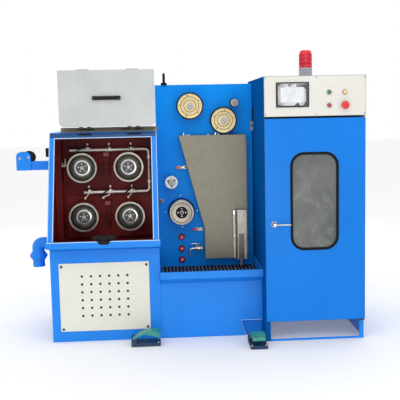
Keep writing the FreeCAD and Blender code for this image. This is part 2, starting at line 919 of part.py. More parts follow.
def on_slant(height, depth=0.0):
    """Point (y, z) on the chamber's slanted front at a height, set in by a depth."""
    y = chamber_lip_front + (height - chamber_lip_top) * slant_y / slant_z
    return (y + depth * slant_z, height - depth * slant_y)


def chamber_side_walls():
    outline = [(base_front, chamber_floor), (chamber_lip_front + frame_plate, chamber_lip_top),
               (chamber_top_front + frame_plate, chamber_top), (panel_y, chamber_top),
               (panel_y, chamber_floor)]
    return Part.makeCompound([along_x(outline, chamber_left, chamber_left + chamber_wall),
                              along_x(outline, chamber_right - chamber_wall, chamber_right)])


def chamber_roof():
    return block(chamber_left + chamber_wall, chamber_right - chamber_wall,
                 chamber_top_front + frame_plate, panel_y, chamber_top - chamber_wall,
                 chamber_top)


def chamber_trough():
    """Floor that rises to the front lip, which stands proud of the base."""
    w = chamber_wall
    low = chamber_lip_top - lip_height
    profile = [(chamber_lip_front, chamber_lip_top), (chamber_lip_front, low),
               (chamber_lip_front + w, low), (base_front, chamber_floor),
               (panel_y, chamber_floor), (panel_y, chamber_floor + w),
               (base_front, chamber_floor + w), (chamber_lip_front + w, low + w),
               (chamber_lip_front + w, chamber_lip_top)]
    pan = along_x(profile, chamber_left + w, chamber_right - w)
    lip = block(chamber_left - lip_over, chamber_right + lip_over, chamber_lip_front - w,
                chamber_lip_front, low, chamber_lip_top)
    return fused(pan, lip)


def frame_bar(x0, x1, low, high):
    """Flat bar on the slanted front, between two heights."""
    (low_y, low_z), (high_y, high_z) = on_slant(low), on_slant(high)
    return along_x([(low_y, low_z), (high_y, high_z), (high_y + frame_plate, high_z),
                    (low_y + frame_plate, low_z)], x0, x1)


def chamber_front_frame():
    low, high = chamber_lip_top, chamber_top
    left = frame_bar(chamber_left, chamber_left + frame_strip, low, high)
    right = frame_bar(chamber_right - frame_strip, chamber_right, low, high)
    top = frame_bar(chamber_left + frame_strip, chamber_right - frame_strip,
                    high - frame_strip, high)
    return fused(left, right, top)


def chamber_back_plate():
    """Liner on the housing, behind the cones."""
    w = chamber_wall
    return block(chamber_left + w, chamber_right - w, panel_y - back_plate, panel_y,
                 chamber_floor + w, chamber_top - w)


def cone_bearings():
    solids = []
    for x in cone_columns:
        for z in cone_rows:
            ring = rod(bearing_radius, bearing_length, (x, panel_y - back_plate, z), (0, -1, 0))
            hole = rod(cone_shaft_radius + run_gap, bearing_length + 1,
                       (x, panel_y - back_plate, z), (0, -1, 0))
            solids.append(ring.cut(hole))
    return Part.makeCompound(solids)


def drawing_cone(x, z):
    """Stepped drum, largest in front, with a dished face and a raised boss."""
    shaft_end = panel_y - back_plate - seat_gap
    back = panel_y - back_plate - bearing_length - cone_back_gap
    points = [(0, shaft_end), (cone_shaft_radius, shaft_end), (cone_shaft_radius, back)]
    y = back
    for i in range(cone_steps):
        r = cone_radius - cone_step * (cone_steps - 1 - i)
        points += [(r, y), (r, y - cone_step_width)]
        y -= cone_step_width
    front = y - cone_flange
    bottom = front + cone_dish_depth
    boss = bottom - cone_boss_rise
    points += [(cone_radius, front), (cone_dish_radius + 6, front), (cone_dish_radius, bottom),
               (cone_boss_radius, bottom), (cone_boss_radius - 9, boss),
               (cone_hub_radius, boss), (cone_hub_radius, boss + 6), (0, boss + 6)]
    return turned(points, x, z)


# ---- coolant and dies ------------------------------------------------------------------


def coolant_pipes():
    """Pipe along the upper cones, down the right side and back between the rows."""
    y = pipe_y
    left, right = chamber_left, chamber_right - pipe_right
    run = pipe([(left + pipe_left_high, y, pipe_high), (right, y, pipe_high),
                (right, y, pipe_low), (left + pipe_left_low, y, pipe_low)],
               pipe_radius, pipe_bend)
    parts = []
    for z in (pipe_high, pipe_low):
        for x in nozzle_columns:
            tee = rod(nozzle_body_radius, nozzle_body_length,
                      (x - nozzle_body_length / 2, y, z), (1, 0, 0))
            knob = rod(nozzle_knob_radius, nozzle_knob_height + nozzle_body_radius, (x, y, z),
                       (0, 0, 1))
            spout = rod(pipe_radius * 0.7, nozzle_drop + nozzle_body_radius, (x, y, z),
                        (0, 0, -1))
            parts += [tee, knob, spout]
    brackets = [rod(pipe_radius * 0.8, panel_y - back_plate - y, (x, y, z), (0, 1, 0))
                for x in (nozzle_columns[0] + 60, nozzle_columns[2] + 60)
                for z in (pipe_high, pipe_low)]
    return fused(run, *parts, *brackets)


def die_holders():
    """An arm from the back plate, a block and two knobbed rods between each pair of cones."""
    solids = []
    back = panel_y - back_plate
    for row in cone_rows:
        z = row + die_rise
        arm = block(die_x - die_arm_width / 2, die_x + die_arm_width / 2,
                    back - die_arm_depth, back, row - die_arm_height / 2, z)
        head = block(die_x - die_block_width / 2, die_x + die_block_width / 2,
                     back - die_block_depth, back, z - die_block_height / 2,
                     z + die_block_height / 2)
        knobs = [rod(die_knob_radius, die_arm_depth + die_knob_length, (die_x, back, z - drop),
                     (0, -1, 0)) for drop in die_knob_drops]
        solids.append(fused(arm, head, *knobs))
    return Part.makeCompound(solids)


# ---- bi-fold lid -----------------------------------------------------------------------

lid_left = chamber_left + lid_inset
lid_right = lid_left + lid_width
lid_hinge_columns = (lid_left + lid_hinge_left, lid_right - lid_hinge_right)
hinge_y, hinge_z = on_slant(chamber_top + lid_hinge_rise * slant_z, -lid_hinge_proud)
fold_z = hinge_z + lid_upper_length
fold_y = hinge_y - lid_axis_cover - lid_fold_gap / 2


def hinge_knuckles(x0, x1, parts, mine):
    """Ranges along X of every second of a hinge's knuckles."""
    step = (x1 - x0) / parts
    return [(x0 + i * step + 0.25, x0 + (i + 1) * step - 0.25) for i in range(mine, parts, 2)]


def slant_bar(x0, x1, low, high, front, back):
    """Bar square to the slanted plane: between two heights, from front to back of it."""
    low_z, high_z = chamber_top + low * slant_z, chamber_top + high * slant_z
    return along_x([on_slant(low_z, front), on_slant(high_z, front),
                    on_slant(high_z, back), on_slant(low_z, back)], x0, x1)


def hinge_ends(centre):
    return centre - lid_hinge_length / 2, centre + lid_hinge_length / 2


def lid_hinge_rail():
    """Strip that carries the slanted front past the roof, with the fixed hinge halves."""
    top = chamber_top + rail_height * slant_z
    rail = along_x([(chamber_top_front, chamber_top), on_slant(top), on_slant(top, rail_thickness),
                    (chamber_top_front + rail_thickness / slant_z, chamber_top)],
                   lid_left, lid_right + lid_side_gap)
    parts = []
    for centre in lid_hinge_columns:
        x0, x1 = hinge_ends(centre)
        for a, b in hinge_knuckles(x0, x1, 3, 0):
            parts.append(rod(lid_hinge_radius, b - a, (a, hinge_y, hinge_z), (1, 0, 0)))
            parts.append(slant_bar(a, b, lid_hinge_rise - lid_hinge_radius + 1, rail_height,
                                   -lid_hinge_proud, 0))
        parts.append(rod(lid_hinge_pin_radius, x1 - x0, (x0, hinge_y, hinge_z), (1, 0, 0)))
    return fused(rail, *parts)


def lid_pan(y_open, y_skin, low, high, round_low):
    """Sheet pan standing upright: its skin at y_skin, its open side at y_open."""
    y0, y1 = min(y_open, y_skin), max(y_open, y_skin)
    body = block(lid_left, lid_right, y0, y1, low, high)
    if round_low:
        edges = [e for e in body.Edges if abs(e.Vertexes[0].Y - e.Vertexes[1].Y) > 0.1
                 and e.Vertexes[0].Z < low + 1]
        body = body.makeFillet(lid_corner, edges)
    s = lid_sheet
    inner0, inner1 = (y0 - 1, y1 - s) if y_skin > y_open else (y0 + s, y1 + 1)
    hollow = block(lid_left + s, lid_right - s, inner0, inner1, low + s, high - s)
    if round_low:
        edges = [e for e in hollow.Edges if abs(e.Vertexes[0].Y - e.Vertexes[1].Y) > 0.1
                 and e.Vertexes[0].Z < low + s + 1]
        hollow = hollow.makeFillet(lid_corner - s, edges)
    return body.cut(hollow)


def lid_upper_leaf():
    """Leaf on the hinge rail, hollow side to the front, with its hinge halves."""
    y_open = hinge_y - lid_axis_cover
    leaf = lid_pan(y_open, y_open + lid_depth, hinge_z + lid_edge_gap, fold_z - fold_edge_gap,
                   False)
    parts = []
    bores = []
    for centre in lid_hinge_columns:
        x0, x1 = hinge_ends(centre)
        for a, b in hinge_knuckles(x0, x1, 3, 1):
            parts.append(rod(lid_hinge_radius, b - a, (a, hinge_y, hinge_z), (1, 0, 0)))
            parts.append(block(a, b, hinge_y - lid_sheet, hinge_y + lid_sheet, hinge_z,
                               hinge_z + lid_edge_gap + lid_sheet))
        bores.append(rod(lid_hinge_pin_radius + run_gap, x1 - x0 + 2,
                         (x0 - 1, hinge_y, hinge_z), (1, 0, 0)))
    leaf = fused(leaf, *parts).cut(Part.makeCompound(bores))
    return fused(leaf, *fold_knuckles(0, y_open, fold_pins=True))


def fold_knuckles(mine, y_edge, fold_pins):
    """Knuckles on the fold line, each on a tongue from the leaf's inner face."""
    parts = []
    for centre in lid_hinge_columns:
        x0, x1 = hinge_ends(centre)
        for a, b in hinge_knuckles(x0, x1, 3, mine):
            parts.append(rod(fold_hinge_radius, b - a, (a, fold_y, fold_z), (1, 0, 0)))
            side = 1 if y_edge > fold_y else -1
            y0, y1 = sorted((y_edge + side * lid_sheet, fold_y + side * lid_sheet))
            parts.append(block(a, b, y0, y1, fold_z - 3 * fold_hinge_radius, fold_z))
        if fold_pins:
            parts.append(rod(fold_hinge_pin_radius, x1 - x0, (x0, fold_y, fold_z), (1, 0, 0)))
    return parts


def lid_lower_leaf():
    """Leaf folded down in front of the upper one, skin to the front."""
    y_open = fold_y - lid_fold_gap / 2
    leaf = lid_pan(y_open, y_open - lid_depth, fold_z - lid_lower_length,
                   fold_z - fold_edge_gap, True)
    leaf = fused(leaf, *fold_knuckles(1, y_open, fold_pins=False))
    bores = []
    for centre in lid_hinge_columns:
        x0, x1 = hinge_ends(centre)
        bores.append(rod(fold_hinge_pin_radius + run_gap, x1 - x0 + 2,
                         (x0 - 1, fold_y, fold_z), (1, 0, 0)))
    return leaf.cut(Part.makeCompound(bores))


def lid_handle():
    """Flat grip on two feet, on the folded leaf's face."""
    face = fold_y - lid_fold_gap / 2 - lid_depth
    cx = (lid_left + lid_right) / 2
    z = fold_z - lid_handle_drop
    half = lid_handle_length / 2
    outer = block(cx - half, cx + half, face - lid_handle_depth, face,
                  z - lid_handle_height / 2, z + lid_handle_height / 2)
    grip = lid_handle_depth / 3
    gap = block(cx - half + grip * 2, cx + half - grip * 2, face - lid_handle_depth + grip,
                face + 1, z - lid_handle_height, z + lid_handle_height)
    return outer.cut(gap)


# ---- wire inlet and drain --------------------------------------------------------------


def inlet_bracket():
    """Arm from the chamber's left wall, with two cheeks, the pulley's axle and a guide."""
    tip = chamber_left - inlet_reach
    arm = block(tip, chamber_left, inlet_y - inlet_bar_depth / 2, inlet_y + inlet_bar_depth / 2,
                inlet_z - inlet_bar_height / 2, inlet_z + inlet_bar_height / 2)
    foot = block(chamber_left - inlet_cheek, chamber_left, inlet_y - inlet_foot / 2,
                 inlet_y + inlet_foot / 2, inlet_z - inlet_foot / 2, inlet_z + inlet_foot / 2)
    cheek_z = inlet_z + inlet_bar_height / 2
    pulley_x = inlet_pulley_x()
    pocket_width = inlet_pulley_width + inlet_pocket_gap
    arm = arm.cut(rod(inlet_pulley_radius + inlet_pocket_gap, pocket_width,
                      (pulley_x, inlet_y - pocket_width / 2, inlet_pulley_z()), (0, 1, 0)))
    guide_z = inlet_z + inlet_guide_low
    guide = block(chamber_left - inlet_guide_reach, chamber_left,
                  inlet_y - inlet_guide_depth / 2, inlet_y + inlet_guide_depth / 2,
                  guide_z, guide_z + inlet_guide_height)
    parts = [foot]
    for y0 in (inlet_y - inlet_bar_depth / 2 - inlet_cheek, inlet_y + inlet_bar_depth / 2):
        cheek = block(tip, tip + inlet_cheek_length, y0, y0 + inlet_cheek,
                      inlet_z - inlet_bar_height / 2, cheek_z + inlet_cheek_height)
        edges = [e for e in cheek.Edges if abs(e.Vertexes[0].Y - e.Vertexes[1].Y) > 0.1
                 and e.Vertexes[0].Z > cheek_z + 1]
        parts.append(cheek.makeFillet(inlet_cheek_length / 3, edges))
    axle_length = inlet_bar_depth + 2 * inlet_cheek
    parts.append(rod(inlet_axle_radius, axle_length,
                     (pulley_x, inlet_y - axle_length / 2, inlet_pulley_z()), (0, 1, 0)))
    return Part.makeCompound([fused(arm, *parts), guide])


def inlet_pulley_x():
    return chamber_left - inlet_reach + inlet_cheek_length - inlet_pulley_inset


def inlet_pulley_z():
    return inlet_z + inlet_pulley_rise


def inlet_pulley():
    half = inlet_pulley_width / 2
    bore = inlet_axle_radius + run_gap
    points = [(bore, inlet_y + half), (inlet_pulley_radius, inlet_y + half),
              (inlet_pulley_radius - inlet_pulley_groove, inlet_y),
              (inlet_pulley_radius, inlet_y - half), (bore, inlet_y - half)]
    return turned(points, inlet_pulley_x(), inlet_pulley_z())


def drain_elbow():
    """Flanged elbow from the chamber's floor level, with a union and an open spigot."""
    x = chamber_left - drain_reach
    bend = drain_radius + 14
    body = pipe([(chamber_left, drain_y, drain_z), (x, drain_y, drain_z),
                 (x, drain_y, drain_z - drain_drop)], drain_radius, bend)
    flange = rod(drain_flange_radius, drain_flange, (chamber_left, drain_y, drain_z),
                 (-1, 0, 0))
    union = rod(drain_union_radius, drain_union_height,
                (x, drain_y, drain_z - drain_union_drop), (0, 0, -1))
    bore = rod(drain_bore, drain_drop - drain_union_drop + 1,
               (x, drain_y, drain_z - drain_drop - 1), (0, 0, 1))
    return fused(body, flange, union).cut(bore)


# ---- foot pedals -----------------------------------------------------------------------


def turned_to(shape, at, towards_viewer):
    """Place a pedal drawn along X, left of the chamber's edge, or turned, of the cabinet's."""
    copy = shape.copy()
    if towards_viewer:
        copy.rotate(V(0, 0, 0), V(0, 0, 1), -90)
    side = panel_right if towards_viewer else chamber_right
    copy.translate(V(side - at[0], at[1], 0))
    return copy


def pedal_base():
    half_l, half_w = pedal_length / 2, pedal_width / 2
    plate = block(-half_l, half_l, -half_w, half_w, 0, pedal_base_height)
    pivot_x = -half_l + pedal_pivot_inset
    parts = []
    for y0 in (-half_w, half_w - pedal_cheek):
        parts.append(block(-half_l, pivot_x + pedal_pivot_inset, y0, y0 + pedal_cheek, 0,
                           pedal_pivot_height + pedal_eye_radius))
    parts.append(rod(pedal_pin_radius, pedal_width, (pivot_x, -half_w, pedal_pivot_height),
                     (0, 1, 0)))
    return fused(plate, *parts)


def pedal_treadle():
    """Curved plate from the pivot's eye up to the toe."""
    half_l = pedal_length / 2
    half_w = pedal_width / 2 - pedal_cheek - pedal_side_gap
    pivot_x = -half_l + pedal_pivot_inset
    heel = V(pivot_x, -half_w, pedal_pivot_height + pedal_eye_radius)
    toe = V(half_l, -half_w, pedal_toe_height)
    crown = V((pivot_x + half_l) / 2, -half_w, pedal_toe_height + pedal_plate / 2)
    drop = V(0, 0, -pedal_plate)
    edges = [Part.Arc(heel, crown, toe).toShape(),
             Part.LineSegment(toe, toe + drop).toShape(),
             Part.Arc(toe + drop, crown + drop, heel + drop).toShape(),
             Part.LineSegment(heel + drop, heel).toShape()]
    plate = Part.Face(Part.Wire(edges)).extrude(V(0, 2 * half_w, 0))
    eye = rod(pedal_eye_radius, 2 * half_w, (pivot_x, -half_w, pedal_pivot_height), (0, 1, 0))
    hole = rod(pedal_pin_radius + run_gap, 2 * half_w + 2, (pivot_x, -half_w - 1,
                                                           pedal_pivot_height), (0, 1, 0))
    return fused(plate, eye).cut(hole)


def pedal_bases():
    base = pedal_base()
    return Part.makeCompound([turned_to(base, pedal_left_at, False),
                              turned_to(base, pedal_right_at, True)])


# ---- export ----------------------------------------------------------------------------

parts = {
    "chamber_base": chamber_base(),
    "bay_base": bay_base(),
    "rear_housing": rear_housing(),
    "vent_panel": vent_panel(),
    "drip_tray": drip_tray(),
    "drain_grille": drain_grille(),
    "annealer_cover": annealer_cover(),
    "wiper_box": wiper_box(),
    "cover_latches": cover_latches(),
    "button_station": button_station(),
    "tap_body": tap_body(),
    "tap_lever": tap_lever(),
    "lifting_eye": lifting_eye(),
    "wheel_axles": wheel_axles(),
    "sheave_upper": sheave(sheave_upper_at),
    "sheave_lower": sheave(sheave_lower_at),
    "plain_idler": plain_idler(),
    "cap_idler": cap_idler(),
    "exit_capstan": exit_capstan(),
    "chamber_side_walls": chamber_side_walls(),
    "chamber_roof": chamber_roof(),
    "chamber_trough": chamber_trough(),
    "chamber_front_frame": chamber_front_frame(),
    "chamber_back_plate": chamber_back_plate(),
    "cone_bearings": cone_bearings(),
    "coolant_pipes": coolant_pipes(),
    "die_holders": die_holders(),
    "lid_hinge_rail": lid_hinge_rail(),
    "lid_upper_leaf": lid_upper_leaf(),
    "lid_lower_leaf": lid_lower_leaf(),
    "lid_handle": lid_handle(),
    "inlet_bracket": inlet_bracket(),
    "inlet_pulley": inlet_pulley(),
    "drain_elbow": drain_elbow(),
    "cabinet_left_wall": cabinet_left_wall(),
    "cabinet_right_wall": cabinet_right_wall(),
    "cabinet_back_wall": cabinet_back_wall(),
    "cabinet_roof": cabinet_roof(),
    "cabinet_decks": cabinet_decks(),
    "bottom_plate": bottom_plate(),
    "control_panel": control_panel(),
    "touch_screen": touch_screen(),
    "push_buttons": push_buttons(),
    "stop_button": stop_button(),
    "beacon_base": beacon_base(),
    "beacon_dome": beacon_dome(),
    "door_hinge_pins": door_hinge_pins(),
    "door_panel": door_panel(),
    "window_gasket": window_gasket(),
    "window_pane": window_pane(),
    "door_lever": door_lever(),
    "wire_guide": wire_guide(),
    "pedal_bases": pedal_bases(),
    "treadle_left": turned_to(pedal_treadle(), pedal_left_at, False),
    "treadle_right": turned_to(pedal_treadle(), pedal_right_at, True),
}
cone_names = {(0, 0): "cone_upper_left", (1, 0): "cone_upper_right",
              (0, 1): "cone_lower_left", (1, 1): "cone_lower_right"}
for (column, row), name in cone_names.items():
    parts[name] = drawing_cone(cone_columns[column], cone_rows[row])

whole = Part.makeCompound(list(parts.values())).BoundBox
shift = V(-(whole.XMin + whole.XMax) / 2, -(whole.YMin + whole.YMax) / 2, 0)
for name, shape in parts.items():
    shape.translate(shift)
    shape.exportStep("parts/" + name + ".step")

print("shift", round(shift.x, 3), round(shift.y, 3))
print("size", round(whole.XLength, 2), round(whole.YLength, 2), round(whole.ZLength, 2))
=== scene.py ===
import bpy, bmesh, json, math
from math import cos, sin, pi, radians, hypot
from mathutils import Matrix, Vector


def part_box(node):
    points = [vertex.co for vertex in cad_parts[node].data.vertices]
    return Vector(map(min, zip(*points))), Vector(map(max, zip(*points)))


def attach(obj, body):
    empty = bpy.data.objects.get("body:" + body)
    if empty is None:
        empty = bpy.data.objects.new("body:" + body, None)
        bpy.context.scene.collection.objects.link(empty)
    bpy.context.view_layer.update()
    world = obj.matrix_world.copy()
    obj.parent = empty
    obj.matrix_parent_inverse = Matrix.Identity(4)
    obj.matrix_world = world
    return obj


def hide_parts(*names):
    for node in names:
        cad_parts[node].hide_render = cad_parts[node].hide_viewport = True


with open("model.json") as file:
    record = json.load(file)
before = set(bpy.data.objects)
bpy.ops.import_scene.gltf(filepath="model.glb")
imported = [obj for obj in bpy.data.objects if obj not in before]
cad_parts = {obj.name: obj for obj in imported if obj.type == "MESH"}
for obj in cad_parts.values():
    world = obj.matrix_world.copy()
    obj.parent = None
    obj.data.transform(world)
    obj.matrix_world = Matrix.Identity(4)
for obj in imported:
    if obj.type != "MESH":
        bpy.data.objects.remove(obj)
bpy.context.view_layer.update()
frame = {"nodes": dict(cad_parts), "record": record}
mm = 0.001
scene = bpy.context.scene
scene.view_settings.view_transform = "Standard"
bodyOf = {node: body for body, nodes in frame["record"]["behaviour"]["bodies"].items() for node in nodes}
slotOf = {part["node"]: part["material_slot"] for part in frame["record"]["subparts"]}
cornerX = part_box("cabinet_left_wall")[0].x     # the cabinet's left face
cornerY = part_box("control_panel")[0].y         # front of the control panel


def place(x, y, z):
    # millimetres from the cabinet's lower left front corner
    return Vector((cornerX + x * mm, cornerY + y * mm, z * mm))


def lo(node):
    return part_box(node)[0]


def hi(node):
    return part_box(node)[1]


def middle(node):
    low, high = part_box(node)
    return (low + high) / 2


# ---- node material helpers

def newFinish(color, roughness=0.4, metallic=0.0, **sockets):
    finish = bpy.data.materials.new("finish")
    finish.use_nodes = True
    shader = finish.node_tree.nodes["Principled BSDF"]
    shader.inputs["Base Color"].default_value = (*color, 1)
    shader.inputs["Roughness"].default_value = roughness
    shader.inputs["Metallic"].default_value = metallic
    for socket, value in sockets.items():
        shader.inputs[socket.replace("_", " ")].default_value = value
    return finish


def addNode(finish, kind, **settings):
    node = finish.node_tree.nodes.new(kind)
    for key, value in settings.items():
        setattr(node, key, value)
    return node


def wire(finish, source, target):
    finish.node_tree.links.new(source, target)


def noiseOn(finish, scale, detail=4.0, rough=0.55, stretch=(1, 1, 1), turn=(0, 0, 0), attribute=None,
            distortion=0.0):
    # a noise on Object coordinates, or on one of the piece's own attributes
    noise = addNode(finish, "ShaderNodeTexNoise")
    for socket, value in (("Scale", scale), ("Detail", detail), ("Roughness", rough),
                          ("Distortion", distortion)):
        noise.inputs[socket].default_value = value
    if attribute:
        source = addNode(finish, "ShaderNodeAttribute", attribute_name=attribute)
        wire(finish, source.outputs["Vector"], noise.inputs["Vector"])
    else:
        coords = addNode(finish, "ShaderNodeTexCoord")
        mapping = addNode(finish, "ShaderNodeMapping")
        mapping.inputs["Scale"].default_value = stretch
        mapping.inputs["Rotation"].default_value = turn
        wire(finish, coords.outputs["Object"], mapping.inputs["Vector"])
        wire(finish, mapping.outputs["Vector"], noise.inputs["Vector"])
    return noise.outputs["Fac"]


def rampOf(finish, factor, *stops):
    # stops are (position, grey or colour)
    ramp = addNode(finish, "ShaderNodeValToRGB")
    elements = ramp.color_ramp.elements
    while len(elements) < len(stops):
        elements.new(0.5)
    for element, (position, value) in zip(elements, stops):
        element.position = position
        element.color = (value, value, value, 1) if isinstance(value, (int, float)) else (*value, 1)
    wire(finish, factor, ramp.inputs["Fac"])
    return ramp.outputs["Color"]


def blendOf(finish, factor, first, second, mode="MIX"):
    blend = addNode(finish, "ShaderNodeMix", data_type="RGBA", blend_type=mode)
    for index, value in ((0, factor), (6, first), (7, second)):
        if isinstance(value, (int, float)):
            blend.inputs[index].default_value = value
        elif isinstance(value, tuple):
            blend.inputs[index].default_value = (*value, 1)
        else:
            wire(finish, value, blend.inputs[index])
    return blend.outputs[2]


def setColour(finish, output):
    wire(finish, output, finish.node_tree.nodes["Principled BSDF"].inputs["Base Color"])
    return finish


def setRoughness(finish, factor, low, high):
    spread = addNode(finish, "ShaderNodeMapRange")
    spread.inputs["To Min"].default_value = low
    spread.inputs["To Max"].default_value = high
    wire(finish, factor, spread.inputs["Value"])
    wire(finish, spread.outputs["Result"], finish.node_tree.nodes["Principled BSDF"].inputs["Roughness"])


def addBump(finish, height, strength, distance):
    bump = addNode(finish, "ShaderNodeBump")
    bump.inputs["Strength"].default_value = strength
    bump.inputs["Distance"].default_value = distance
    shader = finish.node_tree.nodes["Principled BSDF"]
    for link in list(shader.inputs["Normal"].links):
        wire(finish, link.from_socket, bump.inputs["Normal"])
    wire(finish, height, bump.inputs["Height"])
    wire(finish, bump.outputs["Normal"], shader.inputs["Normal"])


def shade(color, factor):
    return tuple(min(1.0, channel * factor) for channel in color)


# ---- finishes

def enamel(color, roughness=0.3, coat=0.5, patch=0.08, peel=0.05, dust=(0.6, 0.62, 0.64), dustAmount=0.05,
           gloss=0.2):
    # sprayed paint: soft patches, orange peel, a little dust
    finish = newFinish(color, roughness, 0.0, Coat_Weight=coat, Coat_Roughness=0.12, Specular_IOR_Level=gloss)
    clouds = noiseOn(finish, 2.6, 5, 0.6)
    tone = rampOf(finish, clouds, (0.3, shade(color, 1 - patch)), (0.7, shade(color, 1 + patch)))
    fine = rampOf(finish, noiseOn(finish, 38, 6, 0.7), (0.52, 0.0), (0.8, dustAmount))
    setColour(finish, blendOf(finish, fine, tone, dust))
    setRoughness(finish, noiseOn(finish, 9, 4, 0.6), roughness * 0.8, roughness * 1.25)
    addBump(finish, noiseOn(finish, 520, 2, 0.5), peel, 0.0006)
    addBump(finish, noiseOn(finish, 7, 2, 0.5), 0.12, 0.004)
    return finish


def brushed(color, roughness=0.34, stretch=(1, 1, 40), cloud=0.1, metallic=1.0, stain=0.0, grain=0.12,
            attribute=None, paintedGlow=0.0):
    # rolled or brushed metal: fine lines one way and slow clouds; paintedGlow is a faint self-glow, painted
    # light
    finish = newFinish(color, roughness, metallic, Emission_Color=(*color, 1), Emission_Strength=paintedGlow)
    lines = noiseOn(finish, 60, 3, 0.6, stretch, attribute=attribute)
    clouds = noiseOn(finish, 5.5, 5, 0.65)
    body = blendOf(finish, rampOf(finish, lines, (0.35, 0.0), (0.65, 1.0)), shade(color, 1 - grain),
                   shade(color, 1 + grain))
    tone = rampOf(finish, clouds, (0.3, 1 - cloud), (0.7, 1.0))
    mixed = blendOf(finish, 1.0, body, tone, "MULTIPLY")
    if stain:
        spots = rampOf(finish, noiseOn(finish, 14, 6, 0.7, distortion=0.6), (0.55, 0.0), (0.75, stain))
        mixed = blendOf(finish, spots, mixed, shade(color, 0.45))
    setColour(finish, mixed)
    setRoughness(finish, clouds, roughness * 0.75, roughness * 1.3)
    addBump(finish, lines, 0.06, 0.0004)
    return finish


def moulded(color, roughness=0.35, grain=300, coat=0.0, **sockets):
    # plastic or rubber with a fine texture
    finish = newFinish(color, roughness, 0.0, Coat_Weight=coat, **sockets)
    clouds = noiseOn(finish, 18, 4, 0.6)
    setColour(finish, rampOf(finish, clouds, (0.3, shade(color, 0.85)), (0.7, shade(color, 1.12))))
    setRoughness(finish, noiseOn(finish, 45, 3, 0.6), roughness * 0.85, roughness * 1.2)
    addBump(finish, noiseOn(finish, grain, 3, 0.6), 0.1, 0.0005)
    return finish


